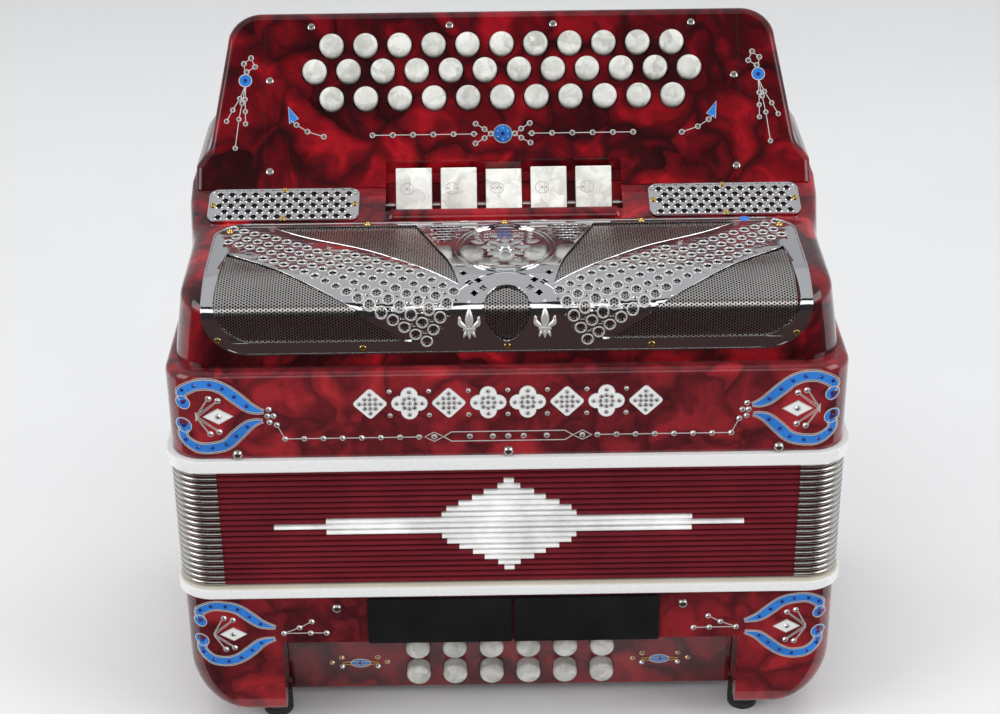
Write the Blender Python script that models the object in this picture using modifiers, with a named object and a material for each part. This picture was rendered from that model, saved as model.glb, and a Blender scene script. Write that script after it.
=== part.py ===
"""Three-row button accordion standing on the feet of its bass end, with its bellows closed.

Units are metres and +Z is up. X runs across the instrument, along the button rows. Y runs from the
front, where the grille and the name band are, to the player's side. Inside this script a depth is
measured back from the front of the bellows frames, and one empty moves the whole instrument so
that the origin lies under the middle of its box.
"""

import math

import bmesh
import bpy
from mathutils import Matrix, Vector

# Overall
FRAME_WIDTH = 0.340
FRAME_DEPTH = 0.186
FRAME_CORNER = 0.018
BACK_DEPTH = 0.190
GAP = 0.0003
REACH = 0.010
TUCK = 0.002
ROUND_SEGMENTS = 5

# Heights above the floor
FOOT_TOP = 0.0145
BASS_BOTTOM = 0.013
BASS_TOP = 0.085
LOWER_FRAME_TOP = 0.0914
UPPER_FRAME_BOTTOM = 0.1591
UPPER_FRAME_TOP = 0.1661
TREBLE_LIP = 0.2130
COVER_TOP = 0.2520
DECK = 0.2592

# Bellows
FOLDS = 21
BELLOWS_INSET = 0.0025
FOLD_DEPTH = 0.015
FOLD_WALL = 0.004
BELLOWS_CORNER = 0.016

# Treble side
TREBLE_INSET = 0.003
TREBLE_WALL = 0.006
TREBLE_CORNER = 0.016
LIP_ROUND = 0.0045
COVER_WIDTH = 0.322
COVER_FRONT = 0.009
COVER_BACK = 0.182
COVER_CORNER = 0.020
BROW_SLOPE = math.radians(27.4)
SLOPE_RADIUS = 0.050
BROW_RADIUS = 0.008
SHELF_START = 0.0905
SHELF_END = 0.1163
COVER_REAR_CORNER = 0.012
CASING_REAR_WALL = 0.009
LOWER_ROOM_TOP = 0.2080
UPPER_ROOM = (0.150, 0.023, 0.172)
UPPER_ROOM_TOP = 0.2400
ROOM_CORNER = 0.012
SOUND_OPENING = (0.128, 0.030, 0.080)
LEVER_SLOT = (0.128, 0.136, 0.165)

# Register trough and switches
TROUGH_HALF = 0.0606
TROUGH = (
    (0.0987, 0.2900), (0.0987, 0.2546), (0.1021, 0.2463),
    (0.1129, 0.2463), (0.1256, 0.2639), (0.1256, 0.2900),
)
SWITCHES = 5
SWITCH_PITCH = 0.02306
SWITCH_WIDTH = 0.01856
SWITCH_THICK = 0.0043
SWITCH_ABOVE = 0.0191
SWITCH_BELOW = 0.0049
SWITCH_ROUND = 0.001
SWITCH_LEAN = math.radians(31.7)
SWITCH_PRESS = math.radians(14.0)
PRESSED_SWITCH = 3
SWITCH_PIVOT = (0.1089, 0.2530)
AXLE_RADIUS = 0.0008
AXLE_BORE = 0.0013
AXLE_SIDES = 10

# Fingerboard, in its own plane: rise is measured up the board from the middle button row
BOARD_LEAN = math.radians(35.7)
BOARD_MIDDLE = (0.1534, 0.3095)
BOARD_TOP_RISE = 0.0327
BOARD_HALF_TOP = 0.1436
BOARD_HALF_LOW = 0.1519
BOARD_HALF_FOOT = 0.1593
BOARD_STEP = (-0.0498, -0.0420)
BOARD_CORNER = 0.0274
BOARD_FACE = 0.008
BOARD_REAR_WALL = 0.006
BOARD_CAVITY_TOP = 0.322
BOARD_CAVITY_HALF = 0.134
BOARD_CAVITY_KNEE = 0.2790
BOARD_CAVITY_FOOT = 0.1700
BOARD_BACK_KNEE = 0.2730
BOARD_BACK_FOOT = 0.1800
STEP_ROUND = 0.006

# Buttons
TREBLE_ROWS = ((11, 0.0137), (12, 0.0), (11, -0.0147))
TREBLE_PITCH = 0.01768
TREBLE_RADIUS = 0.00665
TREBLE_PROUD = 0.0041
BASS_ROWS = ((6, 0.009), (6, -0.009))
BASS_PITCH = 0.01935
BASS_RADIUS = 0.00635
BASS_PROUD = 0.007
BUTTON_SUNK = 0.006
FACE_SHARE = 0.72
FACE_CROWN = 0.0003
EDGE_DROP = 0.0016
STEM_RADIUS = 0.0022
STEM_LENGTH = 0.004
BORE_CLEARANCE = 0.0004
BUTTON_SIDES = 14

# Grille
GRILLE_HALF = 0.1452
GRILLE_REAR = 0.088
GRILLE_THICK = 0.0012
GRILLE_FOOT = 0.2205
GRILLE_WINDOWS = ((0.012, 0.062), (0.072, 0.136))
GRILLE_WINDOW_DEPTHS = (0.020, 0.080)

# Bass side
BASS_HALF = 0.167
BASS_FRONT = 0.003
BASS_BACK = 0.183
BASS_WALL = 0.006
BASS_ROUND = 0.030
BASS_CORNER = 0.014
BOARD_RECESS_HALF = 0.117
BOARD_RECESS_TOP = 0.056
BASS_BOARD_TILT = math.radians(6.4)
BASS_BOARD_MIDDLE = (0.0270, 0.0295)
BASS_BOARD_THICK = 0.020
BASS_BOARD_TOP = 0.060
BASS_BORE_DEPTH = 0.0105
HAND_HALF = 0.105
HAND_FRONT = 0.045
HAND_CEILING = 0.045
WEB_THICK = 0.003
WEB_OPENING = (0.098, 0.050, 0.172)
PAD_BOXES = ((-0.0725, 0.0010), (0.0018, 0.0760))
PAD_LOW = 0.0565
PAD_HIGH = 0.0830
FOOT_RADIUS = 0.0078
FOOT_X = 0.1235
FOOT_DEPTHS = (0.022, 0.164)
COVER_PLATE_HALF = 0.1035
COVER_PLATE_DEPTHS = (0.047, 0.180)
COVER_PLATE_THICK = 0.0027

# Reed blocks inside the bellows
REED_PAN_THICK = 0.006
REED_BLOCK_HALF = 0.125
REED_BLOCK_THICK = 0.020
TREBLE_BLOCK_DEPTHS = (0.042, 0.078, 0.114, 0.148)
TREBLE_BLOCK_FOOT = 0.122
BASS_BLOCK_DEPTHS = (0.062, 0.098, 0.134)
BASS_BLOCK_HALF = 0.075
BASS_BLOCK_TOP = 0.112
BASS_BLOCK_FOOT = 0.052
BASS_RAILS = (-0.055, 0.055)
RAIL_HALF = 0.008
RAIL_HEIGHTS = (0.050, 0.056)

# Hand strap and air button
STRAP_DEPTHS = (0.070, 0.135)
STRAP_THICK = 0.0028
STRAP_END_Z = 0.020
STRAP_DIP_Z = 0.010
STRAP_BLOCK = (0.012, 0.010)
STRAP_BLOCK_DROP = 0.004
STRAP_STEPS = 12
AIR_BUTTON = (0.086, 0.058)
AIR_RADIUS = 0.006
AIR_FLANGE = 0.008
AIR_LOW = 0.034
AIR_CHAMFER = 0.0015
AIR_FLANGE_THICK = 0.002
ROUND_SIDES = 16
BROW_SEGMENTS = 6


# ---------------------------------------------------------------- outlines

def rounded(corners, segments=ROUND_SEGMENTS):
    """A closed outline from (x, y, radius) corners, each corner turned by an arc of its radius."""
    points = []
    count = len(corners)
    for i, (x, y, radius) in enumerate(corners):
        here = Vector((x, y))
        before = Vector(corners[i - 1][:2])
        after = Vector(corners[(i + 1) % count][:2])
        if radius <= 0:
            points.append((x, y))
            continue
        to_before = (before - here).normalized()
        to_after = (after - here).normalized()
        half = to_before.angle(to_after) / 2
        reach = radius / math.tan(half)
        centre = here + (to_before + to_after).normalized() * (radius / math.sin(half))
        start = here + to_before * reach - centre
        end = here + to_after * reach - centre
        turn = start.angle_signed(end)
        for k in range(segments + 1):
            angle = -turn * k / segments
            spoke = Matrix.Rotation(angle, 2) @ start
            points.append(tuple(centre + spoke))
    return points


def box_outline(half, front, back, radius, back_radius=None):
    """A plan outline with rounded corners, symmetric in X."""
    rear = radius if back_radius is None else back_radius
    return rounded([(-half, front, radius), (half, front, radius), (half, back, rear), (-half, back, rear)])


def brow_curve():
    """The front of the treble cover as (depth, z) points: a tight bend out of the upright face, then a
    gentle curve into the level top."""
    run = (SLOPE_RADIUS - BROW_RADIUS) * math.sin(BROW_SLOPE)
    drop = (SLOPE_RADIUS - BROW_RADIUS) * math.cos(BROW_SLOPE)
    bend = Vector((COVER_FRONT + BROW_RADIUS, COVER_TOP - SLOPE_RADIUS + drop))
    crown = Vector((bend.x + run, COVER_TOP - SLOPE_RADIUS))
    points = []
    for centre, radius, start, end in (
            (bend, BROW_RADIUS, math.pi / 2, BROW_SLOPE), (crown, SLOPE_RADIUS, BROW_SLOPE, 0)):
        for k in range(BROW_SEGMENTS + 1):
            fall = start + (end - start) * k / BROW_SEGMENTS
            points.append(tuple(centre + Vector((-math.sin(fall), math.cos(fall))) * radius))
    del points[BROW_SEGMENTS]
    return points


def board_depth(z):
    """Depth of the fingerboard's front face at a height."""
    return BOARD_MIDDLE[0] + (z - BOARD_MIDDLE[1]) * math.tan(BOARD_LEAN)


def board_z(rise):
    return BOARD_MIDDLE[1] + rise * math.cos(BOARD_LEAN)


def bass_board_depth(z):
    return BASS_BOARD_MIDDLE[0] + (BASS_BOARD_MIDDLE[1] - z) * math.tan(BASS_BOARD_TILT)


# ---------------------------------------------------------------- scene set-up

for old in list(bpy.data.objects):
    bpy.data.objects.remove(old)

parts = bpy.data.collections.new("button_accordion")
cutters = bpy.data.collections.new("cutters")
bpy.context.scene.collection.children.link(parts)
bpy.context.scene.collection.children.link(cutters)

instrument = bpy.data.objects.new("instrument_frame", None)
instrument.location = (0.0, -BACK_DEPTH / 2, 0.0)
parts.objects.link(instrument)


def material(name, color, roughness, metallic=0.0):
    made = bpy.data.materials.new(name)
    made.use_nodes = True
    shader = made.node_tree.nodes["Principled BSDF"]
    shader.inputs["Base Color"].default_value = (*color, 1.0)
    shader.inputs["Roughness"].default_value = roughness
    shader.inputs["Metallic"].default_value = metallic
    return made


RED_PEARL = material("red_pearloid", (0.30, 0.004, 0.012), 0.15)
WHITE_PEARL = material("white_pearloid", (0.80, 0.79, 0.74), 0.2)
CHROME = material("polished_chrome", (0.75, 0.75, 0.76), 0.12, 1.0)
CLOTH = material("bellows_cloth", (0.22, 0.012, 0.025), 0.8)
WOOD = material("reed_wood", (0.50, 0.33, 0.18), 0.6)
LEATHER = material("strap_leather", (0.02, 0.018, 0.017), 0.55)
STEEL = material("button_steel", (0.55, 0.55, 0.56), 0.3, 1.0)


def add(name, mesh, finish=None, location=(0, 0, 0), cutter=False):
    """Puts a mesh in the scene, as a named part of the instrument or as a hidden cutter."""
    made = bpy.data.objects.new(name, mesh)
    made.location = location
    made.parent = instrument
    if cutter:
        cutters.objects.link(made)
        made.hide_render = True
        made.display_type = "WIRE"
    else:
        parts.objects.link(made)
        mesh.materials.clear()
        mesh.materials.append(finish)
    return made


def carve(target, cutter, operation="DIFFERENCE"):
    step = target.modifiers.new(operation.lower() + "_" + cutter.name, "BOOLEAN")
    step.operation = operation
    step.solver = "EXACT"
    step.object = cutter
    return target


# ---------------------------------------------------------------- shape makers

PLAN = Matrix.Identity(4)
SIDE = Matrix(((0, 0, 1, 0), (1, 0, 0, 0), (0, 1, 0, 0), (0, 0, 0, 1)))
FRONT = Matrix(((1, 0, 0, 0), (0, 0, -1, 0), (0, 1, 0, 0), (0, 0, 0, 1)))


def slab(name, outline, low, high, facing=PLAN):
    """A flat outline given thickness. PLAN outlines are (x, depth) between two heights, SIDE outlines
    are (depth, z) between two x, and FRONT outlines are (x, z) between two depths."""
    curve = bpy.data.curves.new(name + "_outline", "CURVE")
    curve.dimensions = "2D"
    curve.fill_mode = "BOTH"
    curve.extrude = (high - low) / 2
    line = curve.splines.new("POLY")
    line.points.add(len(outline) - 1)
    for point, (u, v) in zip(line.points, outline):
        point.co = (u, v, 0, 1)
    line.use_cyclic_u = True
    holder = bpy.data.objects.new(name + "_outline", curve)
    bpy.context.scene.collection.objects.link(holder)
    graph = bpy.context.evaluated_depsgraph_get()
    mesh = bpy.data.meshes.new_from_object(holder.evaluated_get(graph))
    bpy.data.objects.remove(holder)
    middle = (low + high) / 2
    if facing is FRONT:
        middle = -middle
    mesh.transform(facing @ Matrix.Translation((0, 0, middle)))
    shape = bmesh.new()
    shape.from_mesh(mesh)
    bmesh.ops.remove_doubles(shape, verts=shape.verts, dist=1e-6)
    bmesh.ops.recalc_face_normals(shape, faces=shape.faces)
    shape.to_mesh(mesh)
    shape.free()
    mesh.name = name
    return mesh


def block_mesh(name, boxes):
    """One mesh of plain boxes, each ((x0, x1), (depth0, depth1), (z0, z1))."""
    shape = bmesh.new()
    for spans in boxes:
        size = [high - low for low, high in spans]
        middle = [(high + low) / 2 for low, high in spans]
        place = Matrix.Translation(middle) @ Matrix.Diagonal((*size, 1))
        bmesh.ops.create_cube(shape, size=1, matrix=place)
    mesh = bpy.data.meshes.new(name)
    shape.to_mesh(mesh)
    shape.free()
    return mesh


def cylinders(name, places, radius, length, turn=Matrix.Identity(4), sides=BUTTON_SIDES):
    """One mesh of equal cylinders, centred on places, with their axes along Z turned by turn."""
    shape = bmesh.new()
    for place in places:
        bmesh.ops.create_cone(
            shape, cap_ends=True, segments=sides, radius1=radius, radius2=radius, depth=length,
            matrix=Matrix.Translation(place) @ turn,
        )
    mesh = bpy.data.meshes.new(name)
    shape.to_mesh(mesh)
    shape.free()
    return mesh


def turned(name, profile, sides, turn=Matrix.Identity(4)):
    """A turned solid about Z from (radius, z) points, top to bottom, starting and ending on the axis."""
    mesh = bpy.data.meshes.new(name + "_profile")
    mesh.from_pydata([(r, 0, z) for r, z in profile], [(i, i + 1) for i in range(len(profile) - 1)], [])
    holder = bpy.data.objects.new(name + "_profile", mesh)
    bpy.context.scene.collection.objects.link(holder)
    screw = holder.modifiers.new("turn", "SCREW")
    screw.steps = sides
    screw.render_steps = sides
    screw.use_merge_vertices = True
    screw.merge_threshold = 0.00001
    graph = bpy.context.evaluated_depsgraph_get()
    made = bpy.data.meshes.new_from_object(holder.evaluated_get(graph))
    bpy.data.objects.remove(holder)
    bpy.data.meshes.remove(mesh)
    shape = bmesh.new()
    shape.from_mesh(made)
    bmesh.ops.remove_doubles(shape, verts=shape.verts, dist=1e-6)
    bmesh.ops.recalc_face_normals(shape, faces=shape.faces)
    shape.to_mesh(made)
    shape.free()
    made.transform(turn)
    made.name = name
    made.shade_smooth()
    made.set_sharp_from_angle(angle=math.radians(35))
    return made


def facing(direction):
    """A turn that takes +Z to a direction in the (depth, z) plane."""
    return Vector((0, 0, 1)).rotation_difference(Vector(direction)).to_matrix().to_4x4()


# ---------------------------------------------------------------- bass side

def bass_button_places():
    """Centres of the bass buttons on the face of their board, row by row from the top."""
    places = []
    for count, rise in BASS_ROWS:
        z = BASS_BOARD_MIDDLE[1] + rise * math.cos(BASS_BOARD_TILT)
        for k in range(count):
            places.append(Vector(((k - (count - 1) / 2) * BASS_PITCH, bass_board_depth(z), z)))
    return places


BASS_OUT = Vector((0, -math.cos(BASS_BOARD_TILT), -math.sin(BASS_BOARD_TILT)))


def bass_casing():
    """Bass box with its bellows frame, sound board, reed blocks, baffle pads and feet in one piece."""
    side = [
        (-BASS_HALF, BASS_TOP + TUCK, 0), (-BASS_HALF, BASS_BOTTOM, BASS_ROUND),
        (BASS_HALF, BASS_BOTTOM, BASS_ROUND), (BASS_HALF, BASS_TOP + TUCK, 0),
    ]
    body = add("bass_casing", slab("bass_casing", rounded(side), BASS_FRONT, BASS_BACK, FRONT), RED_PEARL)
    plan = box_outline(BASS_HALF, BASS_FRONT, BASS_BACK, BASS_CORNER)
    carve(body, add("bass_plan", slab("bass_plan", plan, 0, LOWER_FRAME_TOP), cutter=True), "INTERSECT")
    frame = slab(
        "lower_frame", box_outline(FRAME_WIDTH / 2, 0, FRAME_DEPTH, FRAME_CORNER), BASS_TOP, LOWER_FRAME_TOP)
    carve(body, add("lower_frame", frame, cutter=True), "UNION")

    inner = box_outline(
        BASS_HALF - BASS_WALL, BASS_FRONT + BASS_WALL, BASS_BACK - BASS_WALL, BASS_CORNER - BASS_WALL)
    upper = slab("bass_room", inner, HAND_CEILING + WEB_THICK, LOWER_FRAME_TOP + REACH)
    room = add("bass_room", upper, cutter=True)
    behind = bass_board_depth(HAND_CEILING) + BASS_BOARD_THICK
    board_spans = ((-BASS_HALF, BASS_HALF), (0, behind), (HAND_CEILING - REACH, BASS_BOARD_TOP))
    carve(room, add("bass_board", block_mesh("bass_board", [board_spans]), cutter=True))
    carve(body, room)

    recess = slab("button_recess", [
        (-REACH, BOARD_RECESS_TOP), (bass_board_depth(BOARD_RECESS_TOP), BOARD_RECESS_TOP),
        (bass_board_depth(0), 0), (-REACH, 0)], -BOARD_RECESS_HALF, BOARD_RECESS_HALF, SIDE)
    carve(body, add("button_recess", recess, cutter=True))
    hand = [
        ((-HAND_HALF, HAND_HALF), (HAND_FRONT, BACK_DEPTH), (-REACH, HAND_CEILING)),
        ((-WEB_OPENING[0], WEB_OPENING[0]), WEB_OPENING[1:], (HAND_CEILING - REACH, HAND_CEILING + REACH)),
    ]
    for name, spans in zip(("hand_recess", "web_opening"), hand):
        carve(body, add(name, block_mesh(name, [spans]), cutter=True))

    pockets = [p - BASS_OUT * (BASS_BORE_DEPTH - REACH) / 2 for p in bass_button_places()]
    bores = cylinders(
        "bass_bores", pockets, BASS_RADIUS + BORE_CLEARANCE, BASS_BORE_DEPTH + REACH, facing(BASS_OUT))
    carve(body, add("bass_bores", bores, cutter=True))

    pads = [((x0, x1), (0, BASS_FRONT + TUCK), (PAD_LOW, PAD_HIGH)) for x0, x1 in PAD_BOXES]
    blocks = [
        ((-BASS_BLOCK_HALF, BASS_BLOCK_HALF), (y - REED_BLOCK_THICK / 2, y + REED_BLOCK_THICK / 2),
         (BASS_BLOCK_FOOT, BASS_BLOCK_TOP)) for y in BASS_BLOCK_DEPTHS]
    rails = [
        ((x - RAIL_HALF, x + RAIL_HALF), (BASS_FRONT + TUCK, BASS_BACK - TUCK), RAIL_HEIGHTS)
        for x in BASS_RAILS]
    for name, boxes in (("baffle_pads", pads), ("bass_reed_rails", rails), ("bass_reed_blocks", blocks)):
        carve(body, add(name, block_mesh(name, boxes), cutter=True), "UNION")
    feet = [(sx * FOOT_X, y, FOOT_TOP / 2) for sx in (-1, 1) for y in FOOT_DEPTHS]
    posts = cylinders("feet", feet, FOOT_RADIUS, FOOT_TOP, sides=ROUND_SIDES)
    carve(body, add("feet", posts, cutter=True), "UNION")


def bass_end_cover():
    """Cover under the hand, screwed over the opening of the bass mechanism, bored for the air button."""
    top = HAND_CEILING - GAP
    spans = ((-COVER_PLATE_HALF, COVER_PLATE_HALF), COVER_PLATE_DEPTHS, (top - COVER_PLATE_THICK, top))
    plate = add("bass_end_cover", block_mesh("bass_end_cover", [spans]), RED_PEARL)
    hole = cylinders("air_bore", [(*AIR_BUTTON, top)], AIR_RADIUS + BORE_CLEARANCE, REACH, sides=ROUND_SIDES)
    carve(plate, add("air_bore", hole, cutter=True))


def air_button():
    """Sprung button beside the strap that lets air in without sounding a reed."""
    seat = HAND_CEILING + GAP
    profile = [
        (0, seat + AIR_FLANGE_THICK), (AIR_FLANGE, seat + AIR_FLANGE_THICK), (AIR_FLANGE, seat),
        (AIR_RADIUS, seat), (AIR_RADIUS, AIR_LOW + AIR_CHAMFER), (AIR_RADIUS - AIR_CHAMFER, AIR_LOW),
        (0, AIR_LOW)]
    local = [(r, z - seat) for r, z in profile]
    add("air_button", turned("air_button", local, ROUND_SIDES), STEEL, location=(*AIR_BUTTON, seat))


def hand_strap():
    """Leather hand strap across the bass end, bowed away from it, with a clamp block at each end."""
    half = HAND_HALF - GAP
    lower = []
    upper = []
    for k in range(STRAP_STEPS + 1):
        x = -half + 2 * half * k / STRAP_STEPS
        z = STRAP_DIP_Z + (STRAP_END_Z - STRAP_DIP_Z) * (x / half) ** 2
        lower.append((x, z))
        upper.append((x, z + STRAP_THICK))
    band = slab("hand_strap", lower + upper[::-1], *STRAP_DEPTHS, FRONT)
    strap = add("hand_strap", band, LEATHER)
    length, height = STRAP_BLOCK
    low = STRAP_END_Z - STRAP_BLOCK_DROP
    ends = [
        ((-half, -half + length), STRAP_DEPTHS, (low, low + height)),
        ((half - length, half), STRAP_DEPTHS, (low, low + height))]
    carve(strap, add("strap_blocks", block_mesh("strap_blocks", ends), cutter=True), "UNION")


# ---------------------------------------------------------------- bellows

def bellows():
    """Folded bellows: a zigzag wall, the same distance thick at every fold, open at both ends."""
    bottom = LOWER_FRAME_TOP + GAP
    pitch = (UPPER_FRAME_BOTTOM - GAP - bottom) / FOLDS
    rings = []
    for k in range(2 * FOLDS + 1):
        rings.append((bottom + pitch * k / 2, FOLD_DEPTH * (k % 2 == 0)))
    shape = bmesh.new()

    def ring(z, inset):
        outline = box_outline(
            FRAME_WIDTH / 2 - BELLOWS_INSET - inset, BELLOWS_INSET + inset,
            FRAME_DEPTH - BELLOWS_INSET - inset, max(BELLOWS_CORNER - inset, TUCK))
        corners = [outline[i] for i in range(0, len(outline), ROUND_SEGMENTS + 1)]
        ends = [outline[i + ROUND_SEGMENTS] for i in range(0, len(outline), ROUND_SEGMENTS + 1)]
        return [shape.verts.new((x, y, z)) for pair in zip(corners, ends) for x, y in pair]

    outer = [ring(z, inset) for z, inset in rings]
    inner = [ring(z, inset + FOLD_WALL) for z, inset in rings]
    path = outer + inner[::-1]
    for low, high in zip(path, path[1:] + path[:1]):
        for i in range(len(low)):
            j = (i + 1) % len(low)
            shape.faces.new((low[i], low[j], high[j], high[i]))
    bmesh.ops.recalc_face_normals(shape, faces=shape.faces)
    mesh = bpy.data.meshes.new("bellows")
    shape.to_mesh(mesh)
    shape.free()
    add("bellows", mesh, CLOTH)


# ---------------------------------------------------------------- treble side

def treble_casing():
    """Treble box with its bellows frame, curved cover, register shelf and the switches' axle."""
    base = box_outline(
        FRAME_WIDTH / 2 - TREBLE_INSET, TREBLE_INSET, FRAME_DEPTH - TREBLE_INSET, TREBLE_CORNER)
    body = add("treble_casing", slab("treble_casing", base, UPPER_FRAME_BOTTOM + TUCK, TREBLE_LIP), RED_PEARL)
    lip = body.modifiers.new("lip", "BEVEL")
    lip.width = LIP_ROUND
    lip.segments = 2
    lip.limit_method = "ANGLE"
    lip.angle_limit = math.radians(60)
    frame = slab(
        "upper_frame", box_outline(FRAME_WIDTH / 2, 0, FRAME_DEPTH, FRAME_CORNER),
        UPPER_FRAME_BOTTOM, UPPER_FRAME_TOP)
    carve(body, add("upper_frame", frame, cutter=True), "UNION")

    low = TREBLE_LIP - REACH
    profile = [(COVER_BACK, low), (COVER_FRONT, low)] + brow_curve()
    profile += [(SHELF_START, COVER_TOP), (SHELF_END, DECK), (COVER_BACK, DECK)]
    half = COVER_WIDTH / 2
    cover = add("cover_side", slab("cover_side", profile, -half, half, SIDE), cutter=True)
    plan = box_outline(half, COVER_FRONT, COVER_BACK, COVER_CORNER, COVER_REAR_CORNER)
    trim = slab("cover_plan", plan, low - REACH, DECK + REACH)
    carve(cover, add("cover_plan", trim, cutter=True), "INTERSECT")
    carve(body, cover, "UNION")

    outline = box_outline(
        FRAME_WIDTH / 2 - TREBLE_INSET - TREBLE_WALL, TREBLE_INSET + TREBLE_WALL,
        FRAME_DEPTH - CASING_REAR_WALL, ROOM_CORNER)
    lower = slab("lower_room", outline, UPPER_FRAME_BOTTOM - REACH, LOWER_ROOM_TOP)
    carve(body, add("lower_room", lower, cutter=True))
    upper = slab("upper_room", box_outline(*UPPER_ROOM, ROOM_CORNER), LOWER_ROOM_TOP - REACH, UPPER_ROOM_TOP)
    carve(body, add("upper_room", upper, cutter=True))
    for name, opening in (("sound_opening", SOUND_OPENING), ("lever_slot", LEVER_SLOT)):
        half, front, back = opening
        spans = ((-half, half), (front, back), (UPPER_ROOM_TOP - REACH, DECK + REACH))
        carve(body, add(name, block_mesh(name, [spans]), cutter=True))
    trough = slab("register_trough", TROUGH, -TROUGH_HALF, TROUGH_HALF, SIDE)
    carve(body, add("register_trough", trough, cutter=True))
    along = Matrix.Rotation(math.pi / 2, 4, "Y")
    length = 2 * (TROUGH_HALF + TUCK)
    axle = cylinders("register_axle", [(0, *SWITCH_PIVOT)], AXLE_RADIUS, length, along, AXLE_SIDES)
    carve(body, add("register_axle", axle, cutter=True), "UNION")


def treble_reed_pan():
    """Sound board that closes the treble box, with the reed blocks that hang from it into the bellows."""
    clearance = TREBLE_WALL + GAP
    plan = box_outline(
        FRAME_WIDTH / 2 - TREBLE_INSET - clearance, TREBLE_INSET + clearance,
        FRAME_DEPTH - CASING_REAR_WALL - GAP, ROOM_CORNER)
    low = UPPER_FRAME_TOP + GAP
    pan = add("treble_reed_pan", slab("treble_reed_pan", plan, low, low + REED_PAN_THICK), WOOD)
    blocks = [
        ((-REED_BLOCK_HALF, REED_BLOCK_HALF), (y - REED_BLOCK_THICK / 2, y + REED_BLOCK_THICK / 2),
         (TREBLE_BLOCK_FOOT, low + TUCK)) for y in TREBLE_BLOCK_DEPTHS]
    carve(pan, add("treble_reed_blocks", block_mesh("treble_reed_blocks", blocks), cutter=True), "UNION")


def treble_grille():
    """Polished cover over the sound opening, bent over the brow, with windows for the mesh panels."""
    line = [(COVER_FRONT, GRILLE_FOOT)] + brow_curve() + [(GRILLE_REAR, COVER_TOP)]
    shape = bmesh.new()
    for i, here in enumerate(line):
        before = Vector(line[max(i - 1, 0)])
        after = Vector(line[min(i + 1, len(line) - 1)])
        along = (after - before).normalized()
        shape.verts.new((-GRILLE_HALF, *(Vector(here) + Vector((-along.y, along.x)) * GAP)))
    shape.verts.ensure_lookup_table()
    edges = [shape.edges.new((shape.verts[i], shape.verts[i + 1])) for i in range(len(line) - 1)]
    swept = bmesh.ops.extrude_edge_only(shape, edges=edges)["geom"]
    moved = [v for v in swept if isinstance(v, bmesh.types.BMVert)]
    bmesh.ops.translate(shape, verts=moved, vec=(2 * GRILLE_HALF, 0, 0))
    bmesh.ops.recalc_face_normals(shape, faces=shape.faces)
    if sum(face.normal.z for face in shape.faces) < 0:
        bmesh.ops.reverse_faces(shape, faces=shape.faces)
    mesh = bpy.data.meshes.new("treble_grille")
    shape.to_mesh(mesh)
    shape.free()
    grille = add("treble_grille", mesh, CHROME)
    sheet = grille.modifiers.new("sheet", "SOLIDIFY")
    sheet.thickness = GRILLE_THICK
    sheet.offset = 1
    front, back = GRILLE_WINDOW_DEPTHS
    windows = []
    for inner, outer in GRILLE_WINDOWS:
        for sign in (-1, 1):
            span = tuple(sorted((sign * inner, sign * outer)))
            windows.append((span, (front, back), (COVER_TOP - REACH, COVER_TOP + REACH)))
    carve(grille, add("grille_windows", block_mesh("grille_windows", windows), cutter=True))


BOARD_OUT = Vector((0, -math.cos(BOARD_LEAN), math.sin(BOARD_LEAN)))


def treble_button_places():
    """Centres of the treble buttons on the face of the fingerboard, with their row and number."""
    places = []
    for row, (count, rise) in enumerate(TREBLE_ROWS, 1):
        z = board_z(rise)
        for k in range(count):
            x = (k - (count - 1) / 2) * TREBLE_PITCH
            places.append((row, k + 1, Vector((x, board_depth(z), z))))
    return places


def fingerboard():
    """Wedge-shaped fingerboard: leaning face bored for the buttons, hollow behind for their levers."""
    low = DECK + GAP
    foot = (low - BOARD_MIDDLE[1]) / math.cos(BOARD_LEAN)
    step_low, step_high = BOARD_STEP
    right = [
        (BOARD_HALF_FOOT, foot, 0), (BOARD_HALF_FOOT, step_low, STEP_ROUND),
        (BOARD_HALF_LOW, step_high, STEP_ROUND), (BOARD_HALF_TOP, BOARD_TOP_RISE, BOARD_CORNER)]
    left = [(-x, rise, radius) for x, rise, radius in right[::-1]]
    outline = [(x, board_z(rise)) for x, rise in rounded(right + left)]
    face = slab("fingerboard", outline, SHELF_START, BACK_DEPTH + REACH, FRONT)
    board = add("fingerboard", face, RED_PEARL)
    high = board_z(BOARD_TOP_RISE)
    side = [
        (board_depth(low - REACH), low - REACH), (board_depth(high + REACH), high + REACH),
        (BACK_DEPTH, high + REACH), (BACK_DEPTH, BOARD_BACK_KNEE), (BOARD_BACK_FOOT, low),
        (BOARD_BACK_FOOT, low - REACH)]
    wedge = slab("board_side", side, -FRAME_WIDTH / 2, FRAME_WIDTH / 2, SIDE)
    carve(board, add("board_side", wedge, cutter=True), "INTERSECT")
    step = BOARD_FACE / math.cos(BOARD_LEAN)
    rear = BACK_DEPTH - BOARD_REAR_WALL
    top = BOARD_CAVITY_TOP
    cavity = [
        (board_depth(low - REACH) + step, low - REACH), (board_depth(top) + step, top),
        (rear, top), (rear, BOARD_CAVITY_KNEE), (BOARD_CAVITY_FOOT, low), (BOARD_CAVITY_FOOT, low - REACH)]
    room = slab("lever_room", cavity, -BOARD_CAVITY_HALF, BOARD_CAVITY_HALF, SIDE)
    carve(board, add("lever_room", room, cutter=True))
    trough = slab("board_trough", TROUGH, -TROUGH_HALF, TROUGH_HALF, SIDE)
    carve(board, add("board_trough", trough, cutter=True))
    bores = cylinders(
        "treble_bores", [p for _, _, p in treble_button_places()], TREBLE_RADIUS + BORE_CLEARANCE,
        2 * (BOARD_FACE + TUCK), facing(BOARD_OUT))
    carve(board, add("treble_bores", bores, cutter=True))


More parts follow.
